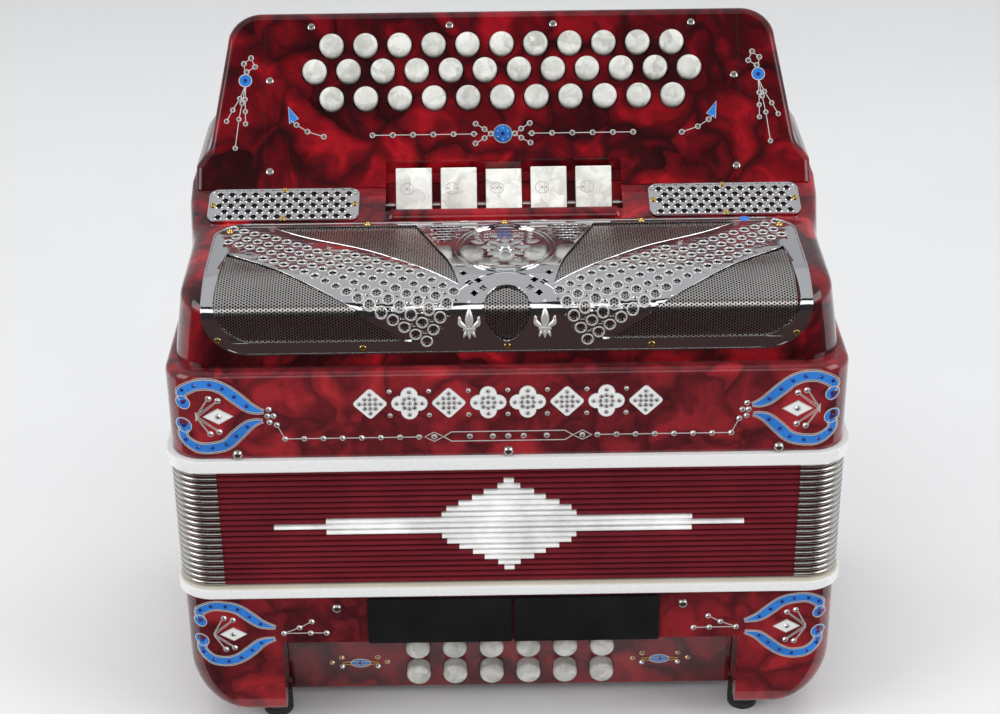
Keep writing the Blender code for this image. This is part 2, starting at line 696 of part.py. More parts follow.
def button_mesh(name, radius, proud, out, stem):
    """A domed button with its face up the outward direction and its origin on the board's face."""
    profile = [
        (0, proud), (radius * FACE_SHARE, proud - FACE_CROWN), (radius, proud - EDGE_DROP),
        (radius, -BUTTON_SUNK)]
    if stem:
        profile += [(STEM_RADIUS, -BUTTON_SUNK), (STEM_RADIUS, -BUTTON_SUNK - STEM_LENGTH)]
    profile.append((0, profile[-1][1]))
    return turned(name, profile, BUTTON_SIDES, facing(out))


def treble_buttons():
    for row, number, place in treble_button_places():
        name = f"treble_button_{row}_{number:02d}"
        mesh = button_mesh(name, TREBLE_RADIUS, TREBLE_PROUD, BOARD_OUT, stem=True)
        add(name, mesh, WHITE_PEARL, location=place)


def bass_buttons():
    for index, place in enumerate(bass_button_places()):
        row, number = divmod(index, BASS_ROWS[0][0])
        name = f"bass_button_{row + 1}_{number + 1}"
        mesh = button_mesh(name, BASS_RADIUS, BASS_PROUD, BASS_OUT, stem=False)
        add(name, mesh, WHITE_PEARL, location=place)


def register_switches():
    """Rocking register switches on one axle. The middle one is the register in use, rocked back."""
    outline = rounded([
        (-SWITCH_THICK / 2, -SWITCH_BELOW, SWITCH_ROUND), (SWITCH_THICK / 2, -SWITCH_BELOW, SWITCH_ROUND),
        (SWITCH_THICK / 2, SWITCH_ABOVE, SWITCH_ROUND), (-SWITCH_THICK / 2, SWITCH_ABOVE, SWITCH_ROUND)], 2)
    along = Matrix.Rotation(math.pi / 2, 4, "Y")
    for number in range(1, SWITCHES + 1):
        x = (number - (SWITCHES + 1) / 2) * SWITCH_PITCH
        lean = SWITCH_LEAN + (SWITCH_PRESS if number == PRESSED_SWITCH else 0)
        tilt = Matrix.Rotation(-lean, 4, "X")
        name = f"register_switch_{number}"
        mesh = slab(name, outline, -SWITCH_WIDTH / 2, SWITCH_WIDTH / 2, SIDE)
        mesh.transform(tilt)
        switch = add(name, mesh, WHITE_PEARL, location=(x, *SWITCH_PIVOT))
        length = SWITCH_WIDTH + 2 * TUCK
        bore = cylinders(name + "_bore", [(x, *SWITCH_PIVOT)], AXLE_BORE, length, along, AXLE_SIDES)
        carve(switch, add(name + "_bore", bore, cutter=True))


bass_casing()
bass_end_cover()
air_button()
hand_strap()
bellows()
treble_casing()
treble_reed_pan()
treble_grille()
fingerboard()
treble_buttons()
bass_buttons()
register_switches()
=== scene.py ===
"""Looks of a three-row button accordion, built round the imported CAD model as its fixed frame.

Lengths in tables are millimetres. A depth is measured back from the front of the bellows frames, a
rise up the leaning fingerboard from its middle button row, and a run up the bent grille from its
lower edge, so every piece is placed where the CAD has it.
"""

import math

import bmesh
import bpy
from mathutils import Matrix, Vector


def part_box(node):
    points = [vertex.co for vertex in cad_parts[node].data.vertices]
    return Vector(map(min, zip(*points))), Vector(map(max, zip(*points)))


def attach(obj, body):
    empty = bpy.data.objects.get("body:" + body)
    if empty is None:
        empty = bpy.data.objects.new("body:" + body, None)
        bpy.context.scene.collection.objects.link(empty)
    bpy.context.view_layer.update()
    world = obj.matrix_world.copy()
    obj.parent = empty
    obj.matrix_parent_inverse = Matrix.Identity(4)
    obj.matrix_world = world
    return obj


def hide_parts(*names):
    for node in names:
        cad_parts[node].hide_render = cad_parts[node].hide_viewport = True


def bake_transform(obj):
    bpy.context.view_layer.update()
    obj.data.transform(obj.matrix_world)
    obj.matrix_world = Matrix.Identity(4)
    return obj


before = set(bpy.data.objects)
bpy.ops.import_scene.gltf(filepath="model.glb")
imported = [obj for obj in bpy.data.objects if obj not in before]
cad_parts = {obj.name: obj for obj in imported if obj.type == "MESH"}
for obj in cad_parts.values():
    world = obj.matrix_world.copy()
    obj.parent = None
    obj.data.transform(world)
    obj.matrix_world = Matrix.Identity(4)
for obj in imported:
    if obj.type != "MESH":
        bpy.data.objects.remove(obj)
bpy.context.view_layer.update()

BASS = "bass_side"
TREBLE = "treble_side"
MM = 0.001
CASE_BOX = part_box("treble_casing")
FRONT_Y = CASE_BOX[0][1]
FRAME_HALF = CASE_BOX[1][0] / MM
FRAME_BACK = (CASE_BOX[1][1] - FRONT_Y) / MM
UPPER_FRAME = (CASE_BOX[0][2] / MM, CASE_BOX[0][2] / MM + 7.0)
LOWER_FRAME = (85.0, 91.4)

LIP = 213.0
COVER_TOP = 252.0
COVER_FRONT = 9.0
COVER_BACK = 182.0
COVER_HALF = 161.0
COVER_CORNER = 20.0
DECK = 259.2
SHELF = (90.5, 116.3)
BROW_SLOPE = math.radians(27.4)
SLOPE_RADIUS = 50.0
BROW_RADIUS = 8.0
BOARD_LEAN = math.radians(35.7)
BOARD_MIDDLE = (153.4, 309.5)
BOARD_BACK = 190.0
BASS_TILT = math.radians(6.4)
BASS_MIDDLE = (27.0, 29.5)
TROUGH = ((98.7, 290.0), (98.7, 254.6), (102.1, 246.3), (112.9, 246.3), (125.6, 263.9), (125.6, 290.0))
TROUGH_HALF = 60.6
GRILLE_HALF = 145.2
GRILLE_FOOT = 220.5
GRILLE_REAR = 88.0
SOUND_HALF = 138.5
FOLDS = 21
FOLD_INSET = 3.0


# ---------------------------------------------------------------- places

def at(x, depth, z):
    return Vector((x * MM, FRONT_Y + depth * MM, z * MM))


class Face:
    """A flat face: across runs along X, up runs along up, and lift stands off it, in millimetres."""

    def __init__(self, depth, z, lean):
        self.origin = at(0, depth, z)
        self.up = Vector((0, math.sin(lean), math.cos(lean)))
        self.out = Vector((0, -math.cos(lean), math.sin(lean)))

    def __call__(self, x, rise, lift=0.0):
        return self.origin + Vector((x * MM, 0, 0)) + self.up * (rise * MM) + self.out * (lift * MM)


BOARD = Face(*BOARD_MIDDLE, BOARD_LEAN)
RECESS = Face(*BASS_MIDDLE, -BASS_TILT)
SHELF_LEAN = math.pi / 2 - math.atan2(DECK - COVER_TOP, SHELF[1] - SHELF[0])
SLOPING = Face(SHELF[0], COVER_TOP, SHELF_LEAN)

BEND = Vector((COVER_FRONT + BROW_RADIUS,
               COVER_TOP - SLOPE_RADIUS + (SLOPE_RADIUS - BROW_RADIUS) * math.cos(BROW_SLOPE)))
CROWN = Vector((BEND.x + (SLOPE_RADIUS - BROW_RADIUS) * math.sin(BROW_SLOPE), COVER_TOP - SLOPE_RADIUS))
BEND_RUN = BEND.y - GRILLE_FOOT
CURVE_RUN = BEND_RUN + BROW_RADIUS * (math.pi / 2 - BROW_SLOPE)
FLAT_RUN = CURVE_RUN + SLOPE_RADIUS * BROW_SLOPE
FULL_RUN = FLAT_RUN + GRILLE_REAR - CROWN.x


def grille_point(x, run, lift=0.0):
    """The place on the bent cover at a distance across and a run up from the grille's lower edge."""
    if run <= BEND_RUN:
        fall, centre, radius = math.pi / 2, None, 0
        place = Vector((COVER_FRONT, GRILLE_FOOT + run))
    elif run <= CURVE_RUN:
        fall, centre, radius = math.pi / 2 - (run - BEND_RUN) / BROW_RADIUS, BEND, BROW_RADIUS
    elif run <= FLAT_RUN:
        fall, centre, radius = BROW_SLOPE - (run - CURVE_RUN) / SLOPE_RADIUS, CROWN, SLOPE_RADIUS
    else:
        fall, centre, radius = 0.0, None, 0
        place = Vector((CROWN.x + run - FLAT_RUN, COVER_TOP))
    out = Vector((-math.sin(fall), math.cos(fall)))
    if centre is not None:
        place = centre + out * radius
    place = place + out * lift
    return at(x, place.x, place.y)


def cover_height(depth):
    """Height of the treble cover's upper surface at a depth, without its rounded rim."""
    if depth < CROWN.x:
        return CROWN.y + math.sqrt(SLOPE_RADIUS ** 2 - (CROWN.x - depth) ** 2)
    share = (depth - SHELF[0]) / (SHELF[1] - SHELF[0])
    return COVER_TOP + (DECK - COVER_TOP) * min(max(share, 0), 1)


def rounded(corners, segments=8):
    """A closed outline from (x, y, radius) corners, each turned by an arc of its radius."""
    points = []
    count = len(corners)
    for i, (x, y, radius) in enumerate(corners):
        here = Vector((x, y))
        if radius <= 0:
            points.append(here)
            continue
        to_before = (Vector(corners[i - 1][:2]) - here).normalized()
        to_after = (Vector(corners[(i + 1) % count][:2]) - here).normalized()
        half = to_before.angle(to_after) / 2
        centre = here + (to_before + to_after).normalized() * (radius / math.sin(half))
        start = here + to_before * (radius / math.tan(half)) - centre
        end = here + to_after * (radius / math.tan(half)) - centre
        turn = start.angle_signed(end)
        for k in range(segments + 1):
            points.append(centre + Matrix.Rotation(-turn * k / segments, 2) @ start)
    return points


def box_corners(half, front, back, radius):
    return [(-half, front, radius), (half, front, radius), (half, back, radius), (-half, back, radius)]


def smooth_curve(points, steps=6, closed=False):
    """A Catmull-Rom curve through 2D points."""
    points = [Vector(p) for p in points]
    count = len(points)
    made = []
    for i in range(count if closed else count - 1):
        if closed:
            a, b, c, d = (points[(i + k - 1) % count] for k in range(4))
        else:
            a, b, c, d = (points[min(max(i + k - 1, 0), count - 1)] for k in range(4))
        for k in range(steps):
            t = k / steps
            made.append(0.5 * ((2 * b) + (c - a) * t + (2 * a - 5 * b + 4 * c - d) * t * t
                               + (3 * b - a - 3 * c + d) * t ** 3))
    if not closed:
        made.append(points[-1])
    return made


# ---------------------------------------------------------------- mesh makers

def add_loops(shape, loops, cap_first=True, cap_last=True, around=True):
    """Joins rings of points with quads, and closes the ends."""
    rings = [[shape.verts.new(p) for p in loop] for loop in loops]
    count = len(rings[0])
    for low, high in zip(rings, rings[1:]):
        for i in range(count if around else count - 1):
            j = (i + 1) % count
            shape.faces.new((low[i], low[j], high[j], high[i]))
    if cap_first:
        shape.faces.new(rings[0][::-1])
    if cap_last:
        shape.faces.new(rings[-1])
    return rings


def add_plate(shape, place, outline, low, high, edge=0.0):
    """A flat plate on a face: an outline of (x, rise) points between two lifts, its top edge softened."""
    middle = sum((Vector(p) for p in outline), Vector((0, 0))) / len(outline)

    def ring(inset, lift):
        made = []
        for p in outline:
            spoke = Vector(p) - middle
            shrink = max(0.0, 1 - inset / max(spoke.length, 0.01))
            made.append(place(*(middle + spoke * shrink), lift))
        return made

    loops = [ring(0, low), ring(0, high - edge)]
    if edge:
        loops += [ring(0.3 * edge, high - 0.3 * edge), ring(edge, high)]
    add_loops(shape, loops)


def add_ribbon(shape, place, points, half, low, high, closed=False):
    """A fine raised line on a face, along 2D points."""
    points = [Vector(p) for p in points]
    count = len(points)
    loops = []
    for i, here in enumerate(points):
        before = points[i - 1] if (i or closed) else here
        after = points[(i + 1) % count] if (i + 1 < count or closed) else here
        along = (after - before).normalized()
        side = Vector((-along.y, along.x)) * half
        loops.append([place(*(here - side), low), place(*(here - side * 0.8), high),
                      place(*(here + side * 0.8), high), place(*(here + side), low)])
    if closed:
        loops.append(loops[0])
    add_loops(shape, loops, cap_first=not closed, cap_last=not closed)


def add_turned(shape, place, x, rise, profile, sides=16, spin=0.0):
    """A turned form on a face, from (radius, lift) points, its ends on the axis or open."""
    loops = []
    for radius, lift in profile:
        loops.append([
            place(x + max(radius, 0.001) * math.cos(spin + 2 * math.pi * k / sides),
                  rise + max(radius, 0.001) * math.sin(spin + 2 * math.pi * k / sides), lift)
            for k in range(sides)])
    add_loops(shape, loops)


def add_torus(shape, place, x, rise, radius, thick, lift, sides=24, rings=8):
    loops = []
    for k in range(sides + 1):
        turn = 2 * math.pi * k / sides
        loops.append([
            place(x + (radius + thick * math.cos(2 * math.pi * j / rings)) * math.cos(turn),
                  rise + (radius + thick * math.cos(2 * math.pi * j / rings)) * math.sin(turn),
                  lift + thick * math.sin(2 * math.pi * j / rings))
            for j in range(rings)])
    add_loops(shape, loops, cap_first=False, cap_last=False)


def make_piece(name, shape, finish, body, slot, replaces=(), crease=35, weighted=True):
    """Makes an object of a bmesh, shades it, gives it its finish and lets it ride on its body."""
    bmesh.ops.remove_doubles(shape, verts=shape.verts, dist=1e-7)
    bmesh.ops.recalc_face_normals(shape, faces=shape.faces)
    mesh = bpy.data.meshes.new(name)
    shape.to_mesh(mesh)
    shape.free()
    piece = bpy.data.objects.new(name, mesh)
    bpy.context.scene.collection.objects.link(piece)
    if crease:
        mesh.shade_smooth()
        mesh.set_sharp_from_angle(angle=math.radians(crease))
        if weighted:
            even = piece.modifiers.new("even_shading", "WEIGHTED_NORMAL")
            even.keep_sharp = True
    finishes = finish if isinstance(finish, (list, tuple)) else [finish]
    for each in finishes:
        mesh.materials.append(each)
    if body:
        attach(piece, body)
    if replaces:
        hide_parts(*replaces)
    return piece


def cut(piece, shape):
    """Cuts the solids of a bmesh out of a piece, for good."""
    bmesh.ops.recalc_face_normals(shape, faces=shape.faces)
    mesh = bpy.data.meshes.new("cutter")
    shape.to_mesh(mesh)
    shape.free()
    cutter = bpy.data.objects.new("cutter", mesh)
    bpy.context.scene.collection.objects.link(cutter)
    step = piece.modifiers.new("cut", "BOOLEAN")
    step.operation = "DIFFERENCE"
    step.solver = "EXACT"
    step.object = cutter
    apply_modifiers(piece)
    bpy.data.objects.remove(cutter)


def apply_modifiers(piece):
    """Keeps a piece as its modifiers leave it."""
    graph = bpy.context.evaluated_depsgraph_get()
    graph.update()
    made = bpy.data.meshes.new_from_object(piece.evaluated_get(graph))
    old = piece.data
    piece.modifiers.clear()
    piece.data = made
    bpy.data.meshes.remove(old)


def soften(piece, width, segments=2, angle=50):
    """Rounds a piece's sharp edges."""
    round_off = piece.modifiers.new("soften", "BEVEL")
    round_off.width = width * MM
    round_off.segments = segments
    round_off.limit_method = "ANGLE"
    round_off.angle_limit = math.radians(angle)
    round_off.harden_normals = False
    even = piece.modifiers.new("even_shading", "WEIGHTED_NORMAL")
    even.keep_sharp = True


def add_box(shape, spans):
    """A box from ((x0, x1), (depth0, depth1), (z0, z1))."""
    (x0, x1), (d0, d1), (z0, z1) = spans
    add_loops(shape, [[at(x0, d0, z), at(x1, d0, z), at(x1, d1, z), at(x0, d1, z)] for z in (z0, z1)])


# ---------------------------------------------------------------- materials

class Finish:
    """A Principled material with helpers for its nodes."""

    def __init__(self, name, color, roughness, metallic=0.0, coat=0.0, coat_roughness=0.03, ior=1.5):
        self.material = bpy.data.materials.new(name)
        self.material.use_nodes = True
        self.tree = self.material.node_tree
        self.shader = self.tree.nodes["Principled BSDF"]
        self.shader.inputs["Base Color"].default_value = (*color, 1)
        self.shader.inputs["Roughness"].default_value = roughness
        self.shader.inputs["Metallic"].default_value = metallic
        self.shader.inputs["Coat Weight"].default_value = coat
        self.shader.inputs["Coat Roughness"].default_value = coat_roughness
        self.shader.inputs["IOR"].default_value = ior
        self.place = self.node("ShaderNodeTexCoord").outputs["Object"]

    def node(self, kind, values=None, **settings):
        made = self.tree.nodes.new(kind)
        for key, value in settings.items():
            setattr(made, key, value)
        for key, value in (values or {}).items():
            if isinstance(value, bpy.types.NodeSocket):
                self.tree.links.new(value, made.inputs[key])
            else:
                made.inputs[key].default_value = value
        return made

    def set(self, socket, value):
        self.tree.links.new(value, self.shader.inputs[socket])

    def noise(self, scale, detail=2.0, roughness=0.5, distortion=0.0, place=None):
        made = self.node("ShaderNodeTexNoise", {
            "Vector": place or self.place, "Scale": scale, "Detail": detail, "Roughness": roughness,
            "Distortion": distortion})
        return made.outputs["Fac"]

    def stretched(self, scale, turn=(0, 0, 0)):
        return self.node("ShaderNodeMapping", {
            "Vector": self.place, "Scale": scale, "Rotation": turn}).outputs["Vector"]

    def ramp(self, value, stops):
        made = self.node("ShaderNodeValToRGB", {"Fac": value})
        band = made.color_ramp
        while len(band.elements) < len(stops):
            band.elements.new(0.5)
        for element, (where, color) in zip(band.elements, stops):
            element.position = where
            element.color = (*color, 1) if len(color) == 3 else (color[0],) * 3 + (1,)
        return made.outputs["Color"]

    def math(self, operation, a, b, c=0.0):
        return self.node("ShaderNodeMath", {0: a, 1: b, 2: c}, operation=operation).outputs[0]

    def bump(self, height, distance, strength=0.5):
        made = self.node("ShaderNodeBump", {
            "Height": height, "Distance": distance * MM, "Strength": strength})
        self.set("Normal", made.outputs["Normal"])


def pearloid(name, stops, cell, seed, roughness, crease=0.55):
    """Celluloid under a clear gloss: patches of a given size in millimetres, each with its own silky
    folds in its own direction, and dark creases where some of the patches meet."""
    made = Finish(name, stops[2][1], roughness, coat=1.0, coat_roughness=0.02)
    made.shader.inputs["Specular IOR Level"].default_value = 0.12
    rate = 1000 / cell
    place = made.node("ShaderNodeVectorMath", {0: made.place, 1: (seed, seed * 0.7, -seed)},
                      operation="ADD")
    drift = made.node("ShaderNodeTexNoise", {
        "Vector": place.outputs[0], "Scale": rate * 1.0, "Detail": 2.0, "Roughness": 0.5})
    swirl = made.node("ShaderNodeVectorMath", {
        0: drift.outputs["Color"], 1: (0.5, 0.5, 0.5)}, operation="SUBTRACT")
    warp = made.node("ShaderNodeVectorMath", {0: swirl.outputs[0], "Scale": cell * 0.0013},
                     operation="SCALE")
    warped = made.node("ShaderNodeVectorMath", {
        0: place.outputs[0], 1: warp.outputs[0]}, operation="ADD").outputs[0]
    patches = made.node("ShaderNodeTexVoronoi", {"Vector": warped, "Scale": rate, "Randomness": 1.0})
    meeting = made.node("ShaderNodeTexVoronoi", {
        "Vector": warped, "Scale": rate, "Randomness": 1.0}, feature="DISTANCE_TO_EDGE")
    tone = made.node("ShaderNodeSeparateColor", {"Color": patches.outputs["Color"]})
    lean = made.node("ShaderNodeVectorMath", {
        0: patches.outputs["Color"], 1: (0.5, 0.5, 0.5)}, operation="SUBTRACT")
    aim = made.node("ShaderNodeVectorMath", {0: lean.outputs[0]}, operation="NORMALIZE")
    run = made.node("ShaderNodeVectorMath", {0: warped, 1: aim.outputs[0]}, operation="DOT_PRODUCT")
    ripple = made.noise(rate * 2.2, 3.0, 0.5, 0.8, warped)
    phase = made.math("MULTIPLY_ADD", run.outputs["Value"], rate * 5.5,
                      made.math("MULTIPLY", ripple, 7.0))
    fold = made.math("MULTIPLY_ADD", made.math("SINE", phase, 0.0), 0.5, 0.5)
    silk = made.noise(rate * 5.0, 5.0, 0.6, 1.4, warped)
    shade = made.math("MULTIPLY_ADD", tone.outputs["Red"], 0.36, made.math("MULTIPLY", fold, 0.34))
    shade = made.math("MULTIPLY_ADD", silk, 0.42, shade)
    near = made.ramp(meeting.outputs["Distance"], [(0.0, (crease,)), (0.16, (1.0,))])
    shade = made.math("MULTIPLY", shade, near)
    made.set("Base Color", made.ramp(shade, stops))
    made.set("Roughness", made.ramp(silk, [(0.3, (roughness * 1.3,)), (0.7, (roughness * 0.7,))]))
    made.bump(silk, 0.02, 0.12)
    return made.material


RED_STOPS = [(0.12, (0.010, 0.0004, 0.0010)), (0.34, (0.050, 0.0008, 0.0030)),
             (0.52, (0.125, 0.0012, 0.0045)),
             (0.72, (0.260, 0.0020, 0.0075)), (0.92, (0.480, 0.0070, 0.0150))]
# Painted sheen: the upright walls of the case and bass box are the same red celluloid as the cover; the
# duller, hazier red that their gloss shows is painted into these tones.
PAINTED_SHEEN_RED_STOPS = [(0.12, (0.044, 0.0060, 0.0085)), (0.34, (0.105, 0.0090, 0.0130)),
                (0.52, (0.180, 0.0120, 0.0170)),
                (0.72, (0.270, 0.0150, 0.0210)), (0.92, (0.385, 0.0210, 0.0280))]
WHITE_STOPS = [(0.15, (0.38, 0.375, 0.345)), (0.40, (0.50, 0.495, 0.46)), (0.62, (0.60, 0.595, 0.555)),
               (0.90, (0.72, 0.71, 0.67))]


def scaled(stops, share):
    """The same run of tones, lighter or darker."""
    return [(place, tuple(part * share for part in tone)) for place, tone in stops]


def plain_finish(name, color, roughness, metallic=0.0, coat=0.0, grain=400.0, spread=0.12, bump=0.01,
                 shine=0.5):
    """A plain surface with slight tone and gloss variation and a fine grain."""
    made = Finish(name, color, roughness, metallic, coat)
    made.shader.inputs["Specular IOR Level"].default_value = shine
    tone = made.noise(grain * 0.05, 4.0, 0.6)
    fine = made.noise(grain, 3.0, 0.6)
    darker = tuple(c * (1 - spread) for c in color)
    lighter = tuple(min(c * (1 + spread), 1) for c in color)
    made.set("Base Color", made.ramp(tone, [(0.35, darker), (0.65, lighter)]))
    made.set("Roughness", made.ramp(fine, [(0.3, (roughness * 0.8,)),
                                           (0.7, (min(roughness * 1.25, 1),))]))
    made.bump(fine, bump, 0.4)
    return made.material


def cloth_finish(name, color):
    made = Finish(name, color, 0.78)
    made.shader.inputs["Specular IOR Level"].default_value = 0.2
    made.shader.inputs["Sheen Weight"].default_value = 0.05
    made.shader.inputs["Sheen Roughness"].default_value = 0.4
    weave = made.node("ShaderNodeTexWave", {
        "Vector": made.place, "Scale": 620.0, "Distortion": 0.6, "Detail": 1.0}, bands_direction="X")
    cross = made.node("ShaderNodeTexWave", {
        "Vector": made.place, "Scale": 620.0, "Distortion": 0.6, "Detail": 1.0}, bands_direction="Z")
    threads = made.math("MAXIMUM", weave.outputs["Fac"], cross.outputs["Fac"])
    wear = made.noise(35.0, 5.0, 0.6)
    shade = made.math("MULTIPLY_ADD", threads, 0.35, made.math("MULTIPLY", wear, 0.65))
    made.set("Base Color", made.ramp(shade, [
        (0.35, tuple(c * 0.55 for c in color)), (0.62, color), (0.85, tuple(c * 1.35 for c in color))]))
    made.bump(threads, 0.12, 0.5)
    return made.material


def leather_finish(name, color):
    made = Finish(name, color, 0.5)
    grain = made.node("ShaderNodeTexVoronoi", {"Vector": made.place, "Scale": 900.0, "Randomness": 1.0})
    tone = made.noise(60.0, 4.0, 0.6)
    made.set("Base Color", made.ramp(tone, [(0.35, tuple(c * 0.7 for c in color)),
                                            (0.7, tuple(c * 1.5 for c in color))]))
    made.set("Roughness", made.ramp(tone, [(0.3, (0.42,)), (0.7, (0.62,))]))
    made.bump(grain.outputs["Distance"], 0.15, 0.5)
    return made.material


def wood_finish(name):
    made = Finish(name, (0.50, 0.33, 0.18), 0.6)
    rings = made.node("ShaderNodeTexWave", {
        "Vector": made.stretched((1, 12, 12)), "Scale": 22.0, "Distortion": 3.0, "Detail": 3.0},
        bands_direction="Y")
    fibre = made.noise(80.0, 4.0, 0.6, 0.0, made.stretched((1, 18, 18)))
    both = made.math("MULTIPLY", rings.outputs["Fac"], fibre)
    made.set("Base Color", made.ramp(both, [(0.1, (0.56, 0.38, 0.21)), (0.5, (0.40, 0.25, 0.12))]))
    made.bump(fibre, 0.1, 0.4)
    return made.material


def gem_finish(name, color, base_metal):
    """Foil-backed cut stone: a bright mirrored body under a clear coat."""
    made = Finish(name, color, 0.04, base_metal, coat=1.0, coat_roughness=0.01)
    spark = made.node("ShaderNodeTexVoronoi", {"Vector": made.place, "Scale": 1500.0, "Randomness": 1.0})
    tone = made.node("ShaderNodeSeparateColor", {"Color": spark.outputs["Color"]})
    made.set("Base Color", made.ramp(tone.outputs["Green"], [
        (0.1, tuple(c * 0.45 for c in color)), (0.55, color),
        (0.95, tuple(min(c * 1.5, 1) for c in color))]))
    return made.material


RED = pearloid("red_pearloid_cover", RED_STOPS, 34.0, 0.0, 0.30)
RED_CASE = pearloid("red_pearloid_case_painted_sheen", PAINTED_SHEEN_RED_STOPS, 30.0, 0.31, 0.30)
# Painted shade: the bass box gets a darker copy of the hazed red.
RED_BASS = pearloid("red_pearloid_bass_painted_sheen_and_shade", scaled(PAINTED_SHEEN_RED_STOPS, 0.85), 30.0, 0.77, 0.30)
# Painted shade: the fingerboard gets a darker copy of the cover's red.
RED_BOARD = pearloid("red_pearloid_board_painted_shade", scaled(RED_STOPS, 0.80), 36.0, 1.13, 0.30)
# Painted light: the register switches get a lighter copy of the keys' white pearl.
SWITCH_PEARL = pearloid("white_pearloid_switches_painted_light", scaled(WHITE_STOPS, 1.3), 16.0, 0.9, 0.28, 0.92)
PEARL = pearloid("white_pearloid_keys", WHITE_STOPS, 10.0, 0.2, 0.28, 0.88)
WHITE = plain_finish("white_gloss_frame", (0.80, 0.80, 0.79), 0.28, coat=0.6, grain=300.0, spread=0.02)
CREAM = plain_finish("cream_gasket", (0.62, 0.58, 0.48), 0.7, spread=0.06)
WHITE_CLOTH = cloth_finish("white_tape", (0.93, 0.93, 0.91))
RED_CLOTH = cloth_finish("red_tape", (0.165, 0.0085, 0.0175))
# Painted shade: the near black of the deep valleys between the bellows folds.
PAINTED_FOLD_SHADE = cloth_finish("bellows_fold_painted_shade", (0.030, 0.004, 0.007))
CHROME = plain_finish("polished_chrome", (0.80, 0.80, 0.81), 0.055, 1.0, grain=250.0, spread=0.02,
                      bump=0.001)
MESH_METAL = plain_finish("mesh_metal", (0.66, 0.63, 0.60), 0.26, 1.0, grain=900.0, spread=0.06)
CORNER_METAL = plain_finish("corner_metal", (0.66, 0.64, 0.61), 0.22, 1.0, grain=700.0, spread=0.08)
STEEL = plain_finish("screw_steel", (0.60, 0.58, 0.55), 0.25, 1.0, grain=900.0, spread=0.08)
SATIN_METAL = plain_finish("satin_rims", (0.80, 0.79, 0.77), 0.32, 0.6, grain=900.0, spread=0.04)
SILVER = plain_finish("silver_line", (0.66, 0.63, 0.60), 0.35, 0.3, grain=900.0, spread=0.05)
BRASS = plain_finish("brass", (0.80, 0.56, 0.16), 0.20, 1.0, grain=900.0, spread=0.08)
BLUE = plain_finish("blue_enamel", (0.020, 0.190, 0.620), 0.25, coat=0.8, grain=500.0, spread=0.14)
BLACK = plain_finish("black_baffle", (0.0085, 0.0085, 0.009), 0.7, grain=900.0, spread=0.2, bump=0.05,
                     shine=0.15)
# Painted shade: the near black of the fine seams on the fingerboard.
SEAM_SHADE = plain_finish("seam_painted_shade", (0.010, 0.006, 0.006), 0.9, grain=900.0, spread=0.3, bump=0.05)
RUBBER = plain_finish("black_rubber", (0.016, 0.016, 0.016), 0.62, grain=700.0, spread=0.2, bump=0.04)
LEATHER = leather_finish("strap_leather", (0.022, 0.019, 0.018))
THREAD = plain_finish("strap_thread", (0.30, 0.28, 0.25), 0.8, grain=900.0)
GEM = gem_finish("clear_stone", (0.78, 0.76, 0.80), 0.85)
BLUE_GEM = gem_finish("dark_blue_stone", (0.030, 0.045, 0.300), 0.5)
AMBER_GEM = gem_finish("amber_stone", (0.60, 0.28, 0.04), 0.6)
WOOD = wood_finish("spruce")
ENGRAVED = plain_finish("engraved_grey", (0.30, 0.28, 0.27), 0.5, grain=900.0)


# ---------------------------------------------------------------- treble box

def plan_loop(half, front, back, radius, z, inset=0.0, segments=12):
    """A rounded rectangle in plan at a height, drawn in by an inset."""
    corners = box_corners(half - inset, front + inset, back - inset, max(radius - inset, 0.6))
    return [at(p.x, p.y, z) for p in rounded(corners, segments)]


def ring_piece(name, size, levels, finish, body, slot, replaces=()):
    """A hollow ring in plan, from (z, inset) levels followed round its section."""
    shape = bmesh.new()
    loops = [plan_loop(*size, z, inset) for z, inset in levels]
    add_loops(shape, loops + loops[:1], cap_first=False, cap_last=False)
    return make_piece(name, shape, finish, body, slot, replaces)


FRAME_SIZE = (FRAME_HALF - 0.9, 0.0, FRAME_BACK, 19.0)
SHELL_SIZE = (FRAME_HALF - 4.0, 3.0, FRAME_BACK - 3.0, 17.0)


def bellows_frame(name, low, high, body):
    wall = 11.0
    levels = [(low, 0.8), (low + 0.8, 0.0), (high - 0.8, 0.0), (high - 0.25, 0.25), (high, 0.8),
              (high, wall), (low, wall)]
    return ring_piece(name, FRAME_SIZE, levels, WHITE, body, "white_frame")


def gasket(name, low, high, inset, body):
    levels = [(low, inset), (high, inset), (high, inset + 8.0), (low, inset + 8.0)]
    return ring_piece(name, FRAME_SIZE, levels, CREAM, body, "white_frame")


def treble_shell():
    """The box under the cover, with its rolled lip."""
    low = UPPER_FRAME[1]
    roll = 4.5
    levels = [(low, 0.5), (low + 0.5, 0.0), (LIP - roll, 0.0)]
    for k in range(1, 9):
        turn = math.pi / 2 * k / 8
        levels.append((LIP - roll + roll * math.sin(turn), roll * (1 - math.cos(turn))))
    levels += [(LIP, 20.0), (LIP - 5.0, 20.0), (LIP - 5.0, 6.0), (low, 6.0)]
    return ring_piece("treble_shell", SHELL_SIZE, levels, RED_CASE, TREBLE, "red_pearloid")


def add_symmetric(shape, rings):
    """Closed rings given by their right halves, mirrored in X, with both ends capped in rows."""
    made = []
    for ring in rings:
        right = [shape.verts.new(p) for p in ring]
        left = [shape.verts.new((-p.x, p.y, p.z)) for p in ring]
        made.append((right, left))
    count = len(rings[0])
    for (right0, left0), (right1, left1) in zip(made, made[1:]):
        for i in range(count - 1):
            shape.faces.new((right0[i], right0[i + 1], right1[i + 1], right1[i]))
            shape.faces.new((left0[i + 1], left0[i], left1[i], left1[i + 1]))
        shape.faces.new((left0[0], right0[0], right1[0], left1[0]))
        shape.faces.new((right0[-1], left0[-1], left1[-1], right1[-1]))
    for right, left in (made[0], made[-1]):
        for i in range(count - 1):
            shape.faces.new((left[i], left[i + 1], right[i + 1], right[i]))


